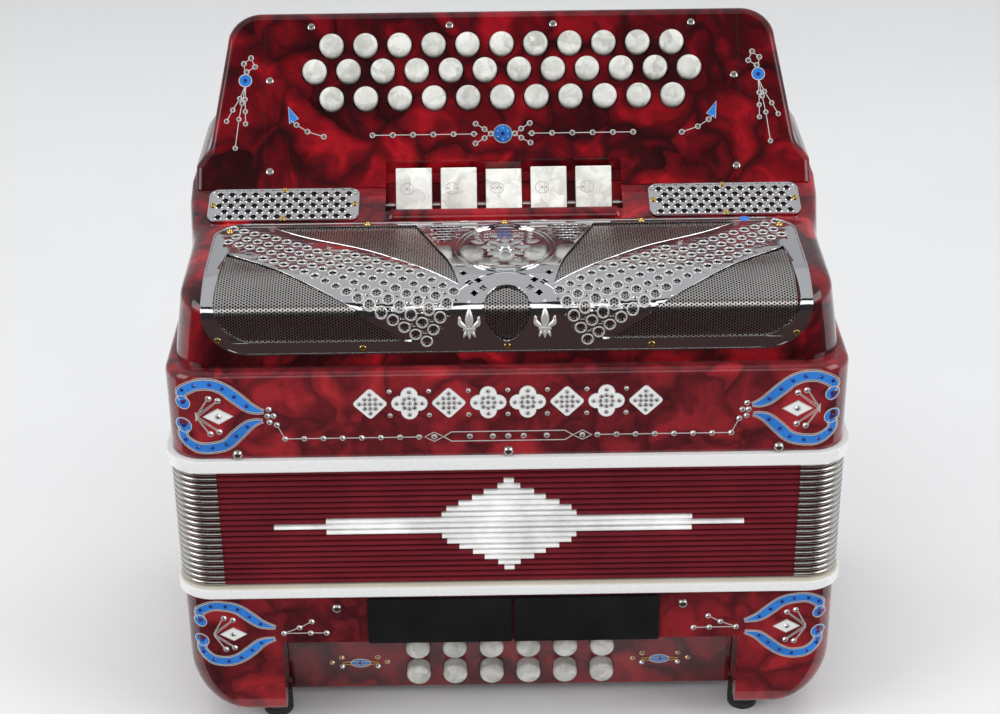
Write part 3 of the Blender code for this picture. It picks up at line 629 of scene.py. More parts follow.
def cover_outline():
    """Right half of the cover's plan, front to back, with outward directions."""
    front = [(p.x, p.y) for p in rounded(box_corners(COVER_HALF, COVER_FRONT, COVER_BACK, COVER_CORNER),
                                         14)]
    turn = [p for p in front if p[0] > 0 and p[1] < COVER_FRONT + COVER_CORNER + 0.01]
    sides = [(COVER_HALF, d) for d in (33, 37, 42, 48, 56, 66, 78, 84, SHELF[0], 95, 103, 110, SHELF[1],
                                       130, 150)]
    rear = rounded([(COVER_HALF, 160, 0), (COVER_HALF, COVER_BACK, 12), (100, COVER_BACK, 0)], 6)[1:-1]
    points = [Vector(p) for p in turn + sides] + list(rear)
    placed = []
    for i, here in enumerate(points):
        before = points[i - 1] if i else here - Vector((1, 0))
        after = points[i + 1] if i + 1 < len(points) else here - Vector((1, 0))
        along = (after - before).normalized()
        placed.append((here, Vector((along.y, -along.x))))
    return placed


def cover_place(here, depth_now, z):
    """A cover point, with its sides leaning in a little towards the brow."""
    lean = min(max((z - LIP) / 27, 0), 1) * min(max((SHELF[1] - depth_now) / 40, 0), 1)
    return at(here.x * (1.006 - 0.031 * lean), depth_now, z)


def treble_cover():
    """Curved cover over the treble reeds, with the register shelf: its upper edge is rolled all round."""
    steps = 10
    rings = [[] for _ in range(steps + 3)]
    for here, out in cover_outline():
        radius = BROW_RADIUS if here.y < 118 else 1.5
        end = math.atan(math.tan(BROW_SLOPE) * max(0.0, -out.y))
        reach = radius * (1 - math.sin(end))
        centre_z = cover_height(here.y - out.y * reach) - radius * math.cos(end)
        rings[0].append(cover_place(here, here.y, LIP - 4))
        rings[1].append(cover_place(here, here.y, LIP + 12))
        for k in range(steps + 1):
            turn = math.pi / 2 + (end - math.pi / 2) * k / steps
            drawn = here - out * (radius * (1 - math.sin(turn)))
            rings[k + 2].append(cover_place(drawn, drawn.y, centre_z + radius * math.cos(turn)))
    shape = bmesh.new()
    add_symmetric(shape, rings)
    cover = make_piece("treble_cover", shape, RED, TREBLE, "red_pearloid", ["treble_casing"])
    opening = bmesh.new()
    add_box(opening, ((-SOUND_HALF, SOUND_HALF), (-5, 82.5), (226.5, 275)))
    cut(cover, opening)
    cut(cover, trough_cutter())
    return cover


def trough_cutter():
    shape = bmesh.new()
    add_loops(shape, [[at(x, d, z) for d, z in TROUGH] for x in (-TROUGH_HALF, TROUGH_HALF)])
    return shape


def sound_chamber():
    """Black lining of the opening under the grille."""
    shape = bmesh.new()
    half = SOUND_HALF - 0.3
    outer = []
    for depth, z in ((9.6, 227), (82, 227), (82, 251.4)):
        outer.append([at(-half, depth, z), at(half, depth, z)])
    rows = [[shape.verts.new(p) for p in pair] for pair in outer]
    for low, high in zip(rows, rows[1:]):
        shape.faces.new((low[0], low[1], high[1], high[0]))
    for side in (0, 1):
        corner = at((-half, half)[side], 14, 243)
        far = at((-half, half)[side], 36, 251.4)
        shape.faces.new([row[side] for row in rows] + [shape.verts.new(far), shape.verts.new(corner)])
    lining = make_piece("grille_chamber", shape, BLACK, TREBLE, "black_baffle", crease=0)
    wall = lining.modifiers.new("wall", "SOLIDIFY")
    wall.thickness = 0.2 * MM
    return lining


def register_roll():
    """Half-round bead in front of the switches."""
    shape = bmesh.new()
    half = 60.2
    radius = 4.4
    loops = []
    for k in range(-10, 11):
        if abs(k) < 5:
            x = (half - radius) * k / 4.5
            size = 1.0
        else:
            turn = (abs(k) - 5) / 5 * math.pi / 2
            x = math.copysign(half - radius + radius * math.sin(turn), k)
            size = max(math.cos(turn), 0.02)
        loops.append([at(x, 94.6 - size * radius * math.cos(math.pi * j / 10),
                         251.6 + size * 5.4 * math.sin(math.pi * j / 10)) for j in range(11)])
    loops.sort(key=lambda ring: ring[0].x)
    add_loops(shape, loops)
    return make_piece("register_roll", shape, RED, TREBLE, "red_pearloid")


def register_axle():
    """Steel axle of the register switches with spacers between them."""
    shape = bmesh.new()
    profile = [(-TROUGH_HALF - 1, 0.8)]
    for k in range(6):
        middle = (k - 2.5) * 23.06
        for x, radius in ((-1.6, 0.8), (-1.6, 1.5), (1.6, 1.5), (1.6, 0.8)):
            profile.append((middle + x, radius))
    profile.append((TROUGH_HALF + 1, 0.8))
    loops = []
    for x, radius in profile:
        x = min(max(x, -TROUGH_HALF - 1), TROUGH_HALF + 1)
        loops.append([at(x, 108.9 + radius * math.cos(math.pi * j / 6),
                         253.0 + radius * math.sin(math.pi * j / 6))
                      for j in range(12)])
    add_loops(shape, loops)
    return make_piece("register_axle", shape, STEEL, TREBLE, "button_steel", crease=30)


# ---------------------------------------------------------------- fingerboard

BOARD_EDGE = [(159.0, -61.5), (158.8, -50.5), (155.6, -45.6), (152.2, -41.0), (150.2, -31.0),
              (147.8, -16.0),
              (143.2, 12.0)]
BOARD_CROWN = (140.6, 32.7, 18.0)


def board_outline():
    """Right half of the fingerboard's face, foot to top, with outward directions."""
    low = [Vector(BOARD_EDGE[0])] + smooth_curve(BOARD_EDGE[1:], 5)
    top = rounded([(*BOARD_EDGE[-1], 0), BOARD_CROWN, (90, BOARD_CROWN[1], 0)], 12)[1:-1]
    points = low + list(top)
    placed = []
    for i, here in enumerate(points):
        before = points[i - 1] if i > 1 else here - Vector((0, 1))
        after = points[i + 1] if i + 1 < len(points) else here - Vector((1, 0))
        along = (after - before).normalized()
        out = Vector((along.y, -along.x)) if here.y > 14 else Vector((1, 0))
        placed.append((here, out))
    return placed


def back_depth(z):
    share = min(max((z - DECK) / (273.0 - DECK), 0), 1)
    return 180 + (BOARD_BACK - 180) * share


def fingerboard():
    """Leaning board with a rounded edge, its sides running straight back, bored for the buttons."""
    edge = [(4.2, 0.0), (2.4, 0.25), (1.0, 1.1), (0.25, 2.4), (0.0, 4.4)]
    rings = [[] for _ in range(len(edge) + 2)]
    low = (DECK + 0.3 - BOARD_MIDDLE[1]) / math.cos(BOARD_LEAN)
    for here, out in board_outline():
        for k, (inset, behind) in enumerate(edge):
            spot = here - out * inset
            fall = -behind * math.tan(BOARD_LEAN) * out.y
            rings[k].append(BOARD(spot.x, max(spot.y, low)) + Vector((0, behind, fall)) * MM)
        face = BOARD(here.x, max(here.y, low))
        z = face.z / MM
        rear = back_depth(z)
        z -= (rear - (face.y - FRONT_Y) / MM) * math.tan(BOARD_LEAN) * out.y
        rings[-2].append(at(here.x, rear - 1.2, z))
        rings[-1].append(at(here.x - out.x * 1.2, rear, z - out.y * 1.2))
    shape = bmesh.new()
    add_symmetric(shape, rings)
    board = make_piece("fingerboard_body", shape, RED_BOARD, TREBLE, "red_pearloid", ["fingerboard"])
    cut(board, trough_cutter())
    bores = bmesh.new()
    for x, rise in treble_places().values():
        add_turned(bores, BOARD, x, rise, [(7.05, -13.0), (7.05, 2.0)], 28)
    cut(board, bores)
    even = board.modifiers.new("even_shading", "WEIGHTED_NORMAL")
    even.keep_sharp = True
    return board


def treble_places():
    """Centre of each treble button on the board, by its CAD node."""
    places = {}
    for row, (count, rise) in enumerate(((11, 13.7), (12, 0.0), (11, -14.7)), 1):
        for k in range(count):
            places[f"treble_button_{row}_{k + 1:02d}"] = ((k - (count - 1) / 2) * 17.68, rise)
    return places


def add_round_button(shape, place, x, rise, radius, proud, sunk):
    """A turned pearl button: softly domed face with a rounded rim."""
    profile = [(0.0, proud), (radius * 0.35, proud - 0.05), (radius * 0.62, proud - 0.18),
               (radius * 0.80, proud - 0.42), (radius * 0.92, proud - 0.90),
               (radius * 0.985, proud - 1.6),
               (radius, proud - 2.4), (radius, -sunk), (0.0, -sunk)]
    add_turned(shape, place, x, rise, profile, 32)


def buttons():
    for name, (x, rise) in treble_places().items():
        shape = bmesh.new()
        add_round_button(shape, BOARD, x, rise, 6.35, 4.1, 6.0)
        add_turned(shape, BOARD, x, rise, [(2.2, -6.0), (2.2, -9.0)], 12)
        make_piece("pearl_" + name, shape, PEARL, name + "_body", "white_pearloid", [name])
    for name, (x, rise) in bass_places().items():
        shape = bmesh.new()
        add_round_button(shape, RECESS, x, rise, 6.35, 7.0, 6.0)
        make_piece("pearl_" + name, shape, PEARL, name + "_body", "white_pearloid", [name])


def bass_places():
    places = {}
    for row, rise in enumerate((9.0, -9.0), 1):
        for k in range(6):
            places[f"bass_button_{row}_{k + 1}"] = ((k - 2.5) * 19.35, rise)
    return places


def cover_plate_seams():
    """The two long seams of the board's cover plate, as fine dark lines whose dark is painted shade of
    the seams.
    """
    shape = bmesh.new()
    for sign in (-1, 1):
        add_ribbon(shape, BOARD, [(sign * 123.2, 28.5), (sign * 123.2, -60.5)], 0.16, -0.2, 0.05)
    return make_piece("board_seams", shape, SEAM_SHADE, TREBLE, "red_pearloid", crease=0)


def add_screw(shape, place, x, rise, radius=1.9, turn=0.6, lift=0.0):
    """A small raised screw head with a cross cut in it."""
    profile = [(radius, lift), (radius, lift + 0.35), (radius * 0.8, lift + 0.62),
               (radius * 0.45, lift + 0.74)]
    add_turned(shape, place, x, rise, profile, 20)
    for k in range(2):
        angle = turn + k * math.pi / 2
        along = Vector((math.cos(angle), math.sin(angle))) * radius * 0.62
        side = Vector((-along.y, along.x)).normalized() * 0.16
        corners = [Vector((x, rise)) + along * a + side * b for a,
                   b in ((-1, -1), (1, -1), (1, 1), (-1, 1))]
        add_plate(shape, place, corners, lift + 0.70, lift + 0.80)


def board_screws():
    shape = bmesh.new()
    for x, rise in ((99, 24.2), (27, 24.2), (120.6, -4.3), (120.6, -52.5)):
        for sign in (-1, 1):
            add_screw(shape, BOARD, sign * x, rise, turn=0.3 * x + sign)
    return make_piece("board_screws", shape, STEEL, TREBLE, "steel_screw")


# ---------------------------------------------------------------- register switches

SWITCH_AXIS = Vector((108.9, 253.0))


def register_switches():
    """Pearl tablets with rounded edges, rolled over at the foot, and an engraved oval of dots on each."""
    thick, above, below, width = 4.3, 19.1, 4.9, 18.56
    for number in range(1, 6):
        x = (number - 3) * 23.06
        lean = math.radians(31.7 + (14.0 if number == 3 else 0.0))
        along = Vector((math.sin(lean), math.cos(lean)))
        out = Vector((-math.cos(lean), math.sin(lean)))

        def place(across, rise, lift, x=x, along=along, out=out):
            spot = SWITCH_AXIS + along * rise + out * lift
            return at(x + across, spot.x, spot.y)

        shape = bmesh.new()
        side = rounded([(-thick / 2, -below, 0.9), (thick / 2, -below, 2.0),
                        (thick / 2, above, 0.9), (-thick / 2, above, 0.9)], 5)
        loops = []
        for across, inset in ((-width / 2, 0.7), (-width / 2 + 0.2, 0.25), (-width / 2 + 0.7, 0.0),
                              (width / 2 - 0.7, 0.0), (width / 2 - 0.2, 0.25), (width / 2, 0.7)):
            loops.append([place(across, min(max(p.y, -below + inset), above - inset),
                                min(max(p.x, -thick / 2 + inset), thick / 2 - inset)) for p in side])
        add_loops(shape, loops)
        name = f"register_switch_{number}"
        tablet = make_piece("pearl_" + name, shape, SWITCH_PEARL, name + "_body", "white_pearloid",
                            [name])
        register_symbol(name, place, number, thick / 2, tablet)


def register_symbol(name, place, number, face, tablet):
    """Engraved oval with the dots of the reed banks in use."""
    shape = bmesh.new()
    middle = Vector((-3.4, 8.2))
    oval = [middle + Vector((3.4 * math.cos(2 * math.pi * k / 28), 3.0 * math.sin(2 * math.pi * k / 28)))
            for k in range(28)]
    on_face = lambda across, rise, lift: place(across, rise, face + lift)
    add_ribbon(shape, on_face, oval, 0.13, -0.05, 0.05, closed=True)
    for shift in (-1.2, 1.2):
        line = [middle + Vector((shift, -2.7)), middle + Vector((shift, 2.7))]
        add_ribbon(shape, on_face, line, 0.07, -0.05, 0.05)
    dots = {1: [(0, 0)], 2: [(-2.2, 0), (2.2, 0)], 3: [(-2.2, 0), (0, 0), (2.2, 0)],
            4: [(0, 0), (2.2, 0)],
            5: [(-2.2, 0)]}[number]
    for dx, dy in dots:
        add_turned(shape, on_face, middle.x + dx, middle.y + dy, [(0.55, -0.05), (0.5, 0.06)], 12)
    mark = make_piece(name + "_symbol", shape, ENGRAVED, None, "white_pearloid", crease=0)
    mark.parent = tablet
    return mark


# ---------------------------------------------------------------- bellows

DIAMOND = (117.0, 91.0, 33.5, 31.0, 25.0, 18.2, 12.4, 5.6, 2.5)
FOLD_SECTION = ((0.0, 0.0), (0.45, 0.08), (0.85, 0.4), (1.15, 1.2), (1.40, 5.0), (1.61, 15.0))
TAPE_INSET = 1.3
# Bellows faces deeper than this inset are painted near black as shade.
FOLD_SHADE_INSET = 5.1


def fold_levels():
    """(z, inset, row) down every fold of the bellows, row counted from the bottom."""
    bottom = LOWER_FRAME[1] + 0.3
    pitch = (UPPER_FRAME[0] - 0.3 - bottom) / FOLDS
    scale = pitch / 2 / FOLD_SECTION[-1][0]
    levels = []
    for row in range(FOLDS):
        peak = bottom + pitch * (row + 0.5)
        for drop, inset in FOLD_SECTION[::-1]:
            levels.append((peak - drop * scale, inset, row))
        for drop, inset in FOLD_SECTION[1:-1]:
            levels.append((peak + drop * scale, inset, row))
    levels.append((bottom + pitch * FOLDS, FOLD_SECTION[-1][1], FOLDS - 1))
    return levels


def bellows_loop(z, inset, marks):
    """One level of the bellows, with points at the edges of the white pattern on the long sides."""
    half = FRAME_HALF - FOLD_INSET - inset
    front, back = FOLD_INSET + inset, FRAME_BACK - FOLD_INSET - inset
    corner = max(17.0 - inset, 2.0)
    plan = rounded(box_corners(half, front, back, corner), 6)
    quarter = len(plan) // 4
    right = [Vector((x, front)) for x in marks]
    left = [Vector((-x, back)) for x in marks]
    order = plan[:quarter] + right + plan[quarter:3 * quarter] + left + plan[3 * quarter:]
    return [at(p.x, p.y, z) for p in order]


def bellows():
    """Folded card bellows: fold edges covered in red cloth tape, with a white pattern on the middle
    folds, and near black in the deep valleys between the folds, which is painted shade.
    """
    marks = sorted([-x for x in DIAMOND] + list(DIAMOND))
    levels = fold_levels()
    shape = bmesh.new()
    rings = [[shape.verts.new(p) for p in bellows_loop(z, inset, marks)] for z, inset, _ in levels]
    count = len(rings[0])
    for index, (low, high) in enumerate(zip(rings, rings[1:])):
        row = levels[index][2]
        reach = abs(row - FOLDS // 2)
        clear_of_fold_shade = max(levels[index][1], levels[index + 1][1]) < FOLD_SHADE_INSET
        for i in range(count):
            j = (i + 1) % count
            made = shape.faces.new((low[i], low[j], high[j], high[i]))
            middle = (low[i].co + low[j].co) / 2
            flat = abs(low[i].co.y - low[j].co.y) < 1e-6
            white = reach < len(DIAMOND) and flat and abs(middle.x) < DIAMOND[reach] * MM
            made.material_index = 0 if not clear_of_fold_shade else (2 if white else 1)
    piece = make_piece("bellows_folds", shape, [PAINTED_FOLD_SHADE, RED_CLOTH, WHITE_CLOTH], None,
                       "bellows_cloth",
                       ["bellows"], crease=60, weighted=False)
    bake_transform(piece)
    return piece


def bellows_corners():
    """Bent metal caps over the corners of every fold."""
    shape = bmesh.new()
    levels = [level for level in fold_levels() if level[1] < TAPE_INSET]
    half, front, back = FRAME_HALF - FOLD_INSET, FOLD_INSET, FRAME_BACK - FOLD_INSET
    reach = 23.5
    for row in range(FOLDS):
        rows = [(z, inset) for z, inset, r in levels if r == row]
        for corner in range(4):
            sx = (-1, 1, 1, -1)[corner]
            sy = (-1, -1, 1, 1)[corner]
            loops = []
            for z, inset in [(rows[0][0], rows[0][1] + 0.5)] + rows + [(rows[-1][0], rows[-1][1] + 0.5)]:
                draw = inset - 0.45
                radius = 17.0 - draw
                centre = Vector((sx * (half - 17.0), front + 17.0 if sy < 0 else back - 17.0))
                loop = [centre + Vector((-sx * (reach - 17), sy * radius))]
                for k in range(9):
                    turn = math.pi / 2 * k / 8
                    loop.append(centre + Vector((sx * math.sin(turn), sy * math.cos(turn))) * radius)
                loop.append(centre + Vector((sx * radius, -sy * (reach - 17))))
                loops.append([at(p.x, p.y, z) for p in loop])
            add_loops(shape, loops, cap_first=False, cap_last=False, around=False)
    caps = make_piece("bellows_corner_caps", shape, CORNER_METAL, None, "corner_metal", crease=50,
                      weighted=False)
    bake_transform(caps)
    return caps


# ---------------------------------------------------------------- pierced sheets

def circle(x, y, radius, sides=14, spin=0.2):
    return [Vector((x + radius * math.cos(spin + 2 * math.pi * k / sides),
                    y + radius * math.sin(spin + 2 * math.pi * k / sides))) for k in range(sides)]


def flower(x, y, radius, petals, depth, points=5):
    """Outline of a hole with lobes."""
    made = []
    for k in range(petals * points):
        turn = 2 * math.pi * k / (petals * points)
        made.append(Vector((x, y)) + Vector((math.cos(turn), math.sin(turn)))
                    * radius * (1 - depth * (1 - abs(math.cos(petals * turn / 2)))))
    return made


def pierced_sheet(name, outline, holes, place, creases, finish, slot, lift, thick, body=TREBLE,
                  replaces=()):
    """A sheet with an outline and holes drawn flat, laid on a bent surface and given thickness."""
    curve = bpy.data.curves.new(name + "_lines", "CURVE")
    curve.dimensions = "2D"
    curve.fill_mode = "FRONT"
    for loop in [outline] + holes:
        line = curve.splines.new("POLY")
        line.points.add(len(loop) - 1)
        for point, spot in zip(line.points, loop):
            point.co = (spot[0], spot[1], 0, 1)
        line.use_cyclic_u = True
    holder = bpy.data.objects.new(name + "_lines", curve)
    bpy.context.scene.collection.objects.link(holder)
    graph = bpy.context.evaluated_depsgraph_get()
    flat = bpy.data.meshes.new_from_object(holder.evaluated_get(graph))
    bpy.data.objects.remove(holder)
    shape = bmesh.new()
    shape.from_mesh(flat)
    bpy.data.meshes.remove(flat)
    bmesh.ops.remove_doubles(shape, verts=shape.verts, dist=1e-4)
    for run in creases:
        everything = shape.verts[:] + shape.edges[:] + shape.faces[:]
        bmesh.ops.bisect_plane(shape, geom=everything, dist=1e-4, plane_co=(0, run, 0),
                               plane_no=(0, 1, 0))
    for vert in shape.verts:
        vert.co = place(vert.co.x, vert.co.y, lift)
    bmesh.ops.recalc_face_normals(shape, faces=shape.faces)
    out = place(0, 60, 1) - place(0, 60, 0)
    middle = max(shape.faces, key=lambda face: face.calc_area())
    if middle.normal.dot(out) < 0:
        bmesh.ops.reverse_faces(shape, faces=shape.faces)
    sheet = make_piece(name, shape, finish, body, slot, replaces, weighted=False)
    wall = sheet.modifiers.new("wall", "SOLIDIFY")
    wall.thickness = thick * MM
    wall.offset = 1
    even = sheet.modifiers.new("even_shading", "WEIGHTED_NORMAL")
    even.keep_sharp = True
    return sheet


def inside(point, loop):
    """Whether a point is inside a closed outline."""
    found = False
    for a, b in zip(loop, loop[1:] + loop[:1]):
        if (a[1] > point[1]) != (b[1] > point[1]):
            if point[0] < a[0] + (point[1] - a[1]) * (b[0] - a[0]) / (b[1] - a[1]):
                found = not found
    return found


def gap_to(point, loop):
    """Shortest distance from a point to an outline."""
    best = 1e9
    here = Vector(point)
    for a, b in zip(loop, loop[1:] + loop[:1]):
        a, b = Vector(a), Vector(b)
        span = b - a
        share = min(max((here - a).dot(span) / max(span.length_squared, 1e-9), 0), 1)
        best = min(best, (here - a - span * share).length)
    return best


def mirrored(points):
    return [Vector((-p[0], p[1])) for p in points][::-1]


# ---------------------------------------------------------------- grille, on the left half

LOWER_EDGE = [(-136.5, 68.3), (-120, 57), (-94, 37), (-67.5, 19.3), (-48.6, 6.6)]
UPPER_EDGE = [(-116.6, 98.0), (-98, 85.4), (-67, 69.5), (-37, 46.7), (-22.5, 35.5)]
SHIELD_EDGE = [(-22.5, 35.5), (-28.2, 58.4), (-34.4, 73.5), (-44.5, 99.0)]
BEND_STEPS = [BEND_RUN + (CURVE_RUN - BEND_RUN) * k / 10 for k in range(11)]
BEND_STEPS += [CURVE_RUN + (FLAT_RUN - CURVE_RUN) * k / 14 for k in range(1, 15)]


def lower_panel():
    diagonal = smooth_curve(LOWER_EDGE, 5)
    corner = rounded([(-48.6, 6.6, 0), (-139.6, 6.6, 20), (-139.6, 70, 0)], 10)[1:-1]
    return diagonal + list(corner)


def upper_panel():
    return smooth_curve(UPPER_EDGE, 5) + smooth_curve(SHIELD_EDGE, 4)[1:] + [Vector((-112, 99.2))]


def egg():
    made = []
    for k in range(40):
        turn = 2 * math.pi * k / 40
        up = math.sin(turn)
        tall = 12.4 if up > 0 else 16.6
        half = 11.3 * math.cos(turn) * (1 if up > 0 else 1 - 0.22 * up * up)
        made.append(Vector((half, 22.3 + tall * up)))
    return made


def wing_outline():
    low = smooth_curve([(-139.4, 76.0), (-133, 71.5), (-118, 61.5), (-92, 41.5), (-66, 24.0), (-45, 9.5),
                        (-39, 5.2)], 4)
    right = [Vector((-32, 8.0)), Vector((-24.6, 19)), Vector((-22.0, 27))]
    high = smooth_curve([(-24, 31.5), (-38, 41.5), (-68, 64.0), (-99, 80.0), (-120, 93.5), (-122, 99)], 4)
    return low + right + high + [Vector((-139.4, 99))]


def wing_lattice():
    """Hole centres of the wing: a square lattice whose rows follow its lower edge."""
    row_line = smooth_curve([(-146, 79), (-135.3, 72.5), (-119, 63), (-97.7, 47.7), (-76.3, 32),
                             (-54.8, 18.2), (-39.7, 7.3), (-28, -1)], 16)
    lengths = [0.0]
    for a, b in zip(row_line, row_line[1:]):
        lengths.append(lengths[-1] + (b - a).length)

    def along(run):
        for i in range(1, len(lengths)):
            if lengths[i] >= run:
                share = (run - lengths[i - 1]) / (lengths[i] - lengths[i - 1])
                return row_line[i - 1].lerp(row_line[i], share)
        return row_line[-1] + (row_line[-1] - row_line[-2]).normalized() * (run - lengths[-1])

    wing = wing_outline()
    big, small = [], []
    for row in range(0, 8):
        for k in range(-3, 34):
            spot = along(max(k, 0) * 6.5) + Vector((5.35, -3.75)) * min(k, 0) + Vector((3.3, 6.2)) * row
            if inside(spot, wing) and gap_to(spot, wing) > 0.5:
                big.append(spot)
            between = spot + Vector((4.3, 1.2))
            if inside(between, wing) and gap_to(between, wing) > 1.2:
                small.append(between)
    return big, small


def shield_holes():
    """Clustered round holes in the upper corners of the middle shield."""
    made = []
    shield = [(-41, 97.6), (-36, 86.6), (-31.2, 74.5), (-25.6, 80), (-22, 92), (-17, 97.6)]
    for row in range(8):
        for k in range(9):
            spot = (-40 + k * 3.5 + 1.75 * (row % 2), 96 - row * 3.1)
            if inside(spot, shield) and gap_to(spot, shield) > 1.0:
                made.append((*spot, 1.2))
    return made


RING_ZONE = 34.0
LEAF_HOLES = ((-20.5, 43.9), (-17.8, 36.9), (-13.3, 38.3), (-11.2, 33.2), (-15.4, 30.0))
EYELETS = ((137.5, 94), (69, 101), (0, 101), (138, 8), (69, 3), (0, 3))


def treble_grille():
    """Polished cover of the grille, pierced by the mesh panels and the fretted wings."""
    outline = rounded([(-GRILLE_HALF, 0, 22), (GRILLE_HALF, 0, 22), (GRILLE_HALF, FULL_RUN, 16),
                       (-GRILLE_HALF, FULL_RUN, 16)], 12)
    big, small = wing_lattice()
    half = [lower_panel(), upper_panel()]
    half += [circle(p.x, p.y, 2.3 if p.y < RING_ZONE else 1.85, 14) for p in big]
    half += [circle(p.x, p.y, 0.75, 6) for p in small if p.y < RING_ZONE]
    half += [circle(x, run, radius, 8) for x, run, radius in shield_holes()]
    half += [flower(x, run, 2.0, 4, 0.35, 4) for x, run in LEAF_HOLES]
    holes = half + [mirrored(loop) for loop in half] + [egg()]
    return pierced_sheet("treble_grille_plate", outline, holes, grille_point,
                         BEND_STEPS + [3, 10, 60, 75, 90],
                         CHROME, "chrome_grille", 0.55, 0.75, replaces=["treble_grille"])


def grille_mesh():
    """Fine staggered mesh behind the grille: one sheet of hexagonal cells, each with a round hole."""
    step_x, step_run = 1.31, 1.515
    hole = 0.50
    shape = bmesh.new()
    columns = int(SOUND_HALF * 2 / step_x)
    rows = int((FULL_RUN - 4) / step_run)
    found = {}

    def corner(x, run):
        key = (round(x, 2), round(run, 2))
        if key not in found:
            found[key] = shape.verts.new(grille_point(x, run, 0.28))
        return found[key]

    panels = [lower_panel(), upper_panel(), wing_outline()]
    left = [[(p[0], p[1]) for p in panel] for panel in panels]
    for i in range(columns + 1):
        x = -SOUND_HALF - 0.6 + i * step_x
        mirror_x = -abs(x)
        for j in range(rows + 1):
            run = 4 + (j + 0.5 * (i % 2)) * step_run
            near = (mirror_x, run)
            wanted = abs(x) < 13 and run < 37 or any(
                inside(near, loop) or gap_to(near, loop) < 1.3 for loop in left)
            if not wanted:
                continue
            outer = [(x + dx * step_x, run + dy * step_run) for dx, dy in (
                (2 / 3, 0), (1 / 3, 0.5), (-1 / 3, 0.5), (-2 / 3, 0), (-1 / 3, -0.5), (1 / 3, -0.5))]
            ring = [corner(*p) for p in outer]
            rim = [shape.verts.new(grille_point(x + hole * math.cos(math.pi * k / 3),
                                                run + hole * math.sin(math.pi * k / 3),
                                                0.28)) for k in range(6)]
            for k in range(6):
                n = (k + 1) % 6
                shape.faces.new((ring[k], ring[n], rim[n], rim[k]))
    mesh = make_piece("grille_fine_mesh", shape, MESH_METAL, TREBLE, "chrome_grille", crease=0)
    return mesh


def add_leaf(shape, place, base, tip, width, low, high, bend=0.0, steps=8):
    """A raised leaf from base to tip, with a ridge along it."""
    base, tip = Vector(base), Vector(tip)
    side = Vector((-(tip - base).y, (tip - base).x)).normalized()
    loops = []
    for k in range(steps + 1):
        t = k / steps
        spot = base.lerp(tip, t) + side * (bend * math.sin(math.pi * t))
        reach = max(width * math.sin(math.pi * min(0.02 + t ** 0.8, 0.995)), 0.05)
        rise = low + (high - low) * max(math.sin(math.pi * min(0.04 + t, 0.97)), 0.1)
        loops.append([place(*(spot - side * reach), low),
                      place(*(spot - side * reach * 0.55), low + (rise - low) * 0.8),
                      place(*spot, rise), place(*(spot + side * reach * 0.55), low + (rise - low) * 0.8),
                      place(*(spot + side * reach), low)])
    add_loops(shape, loops)


def add_bead(shape, place, x, rise, radius, low, sides=14):
    profile = [(radius * math.cos(math.pi / 2 * k / 5),
                low + radius * 0.75 * math.sin(math.pi / 2 * k / 5))
               for k in range(6)]
    add_turned(shape, place, x, rise, profile, sides)


def grille_relief():
    """Raised work on the polished cover. The satin rims and plumes are one piece, the rest another."""
    top = 1.25
    shape = bmesh.new()
    for loop in (lower_panel(), upper_panel()):
        for side in (loop, mirrored(loop)):
            add_ribbon(shape, grille_point, side, 0.24, top - 0.1, top + 0.16, closed=True)
    add_ribbon(shape, grille_point, egg(), 0.55, top - 0.1, top + 0.75, closed=True)
    border = rounded([(-GRILLE_HALF + 0.5, 0.5, 21.5), (GRILLE_HALF - 0.5, 0.5, 21.5),
                      (GRILLE_HALF - 0.5, FULL_RUN - 0.5, 15.5),
                      (-GRILLE_HALF + 0.5, FULL_RUN - 0.5, 15.5)], 12)
    dense = []
    for a, b in zip(border, border[1:] + border[:1]):
        pieces = max(int((b - a).length / 3), 1)
        dense += [a.lerp(b, k / pieces) for k in range(pieces)]
    add_ribbon(shape, grille_point, dense, 0.42, top - 0.1, top + 0.35, closed=True)
    big = wing_lattice()[0]
    rims = bmesh.new()
    for sign in (-1, 1):
        for p in big:
            if p.y < RING_ZONE:
                add_torus(rims, grille_point, -sign * p.x, p.y, 2.62, 0.4, top + 0.05, 20, 6)
            else:
                add_torus(rims, grille_point, -sign * p.x, p.y, 2.2, 0.32, top, 16, 6)
        contour = smooth_curve([(sign * 25, 29.5), (sign * 18.6, 35.5), (sign * 11.8, 41),
                                (sign * 5, 43.6), (0, 44.2)], 5)
        add_ribbon(shape, grille_point, contour, 0.3, top - 0.1, top + 0.4)
        plume(rims, sign * 18.0)
    for reach in (1.0, 0.9):
        loop = [Vector((24.8 * reach * math.cos(2 * math.pi * k / 64),
                        71.3 + 26.6 * reach * math.sin(2 * math.pi * k / 64)))
                for k in range(64)]
        add_ribbon(shape, grille_point, loop, 0.45, top - 0.1, top + 0.55, closed=True)
    rosette(shape, 71.3)
    make_piece("wing_hole_rims", rims, SATIN_METAL, TREBLE, "chrome_grille", crease=50)
    return make_piece("grille_relief", shape, CHROME, TREBLE, "chrome_grille", crease=50)


def plume(shape, x):
    """A small three-leaved plume tied with a band."""
    low, high = 1.15, 2.2
    sign = math.copysign(1, x)
    add_leaf(shape, grille_point, (x, 13.0), (x, 24.0), 2.1, low, high + 0.3)
    for side in (-1, 1):
        add_leaf(shape, grille_point, (x + side * 0.8, 13.0), (x + side * 4.9, 19.6), 1.5, low, high,
                 -side * 1.5)
        add_leaf(shape, grille_point, (x + side * 4.7, 19.4), (x + side * 5.3, 15.8), 0.9, low,
                 high - 0.3, -side * 0.5)
        add_leaf(shape, grille_point, (x + side * 0.5, 12.0), (x + side * 2.9, 7.4), 0.9, low, high - 0.3,
                 side * 0.4)
    add_leaf(shape, grille_point, (x, 12.2), (x, 6.8), 1.0, low, high - 0.2)
    add_ribbon(shape, grille_point, [(x - 3.0, 12.5), (x + 3.0, 12.5)], 0.7, low, high)
    add_bead(shape, grille_point, x + sign * 0.0, 25.4, 0.8, low)


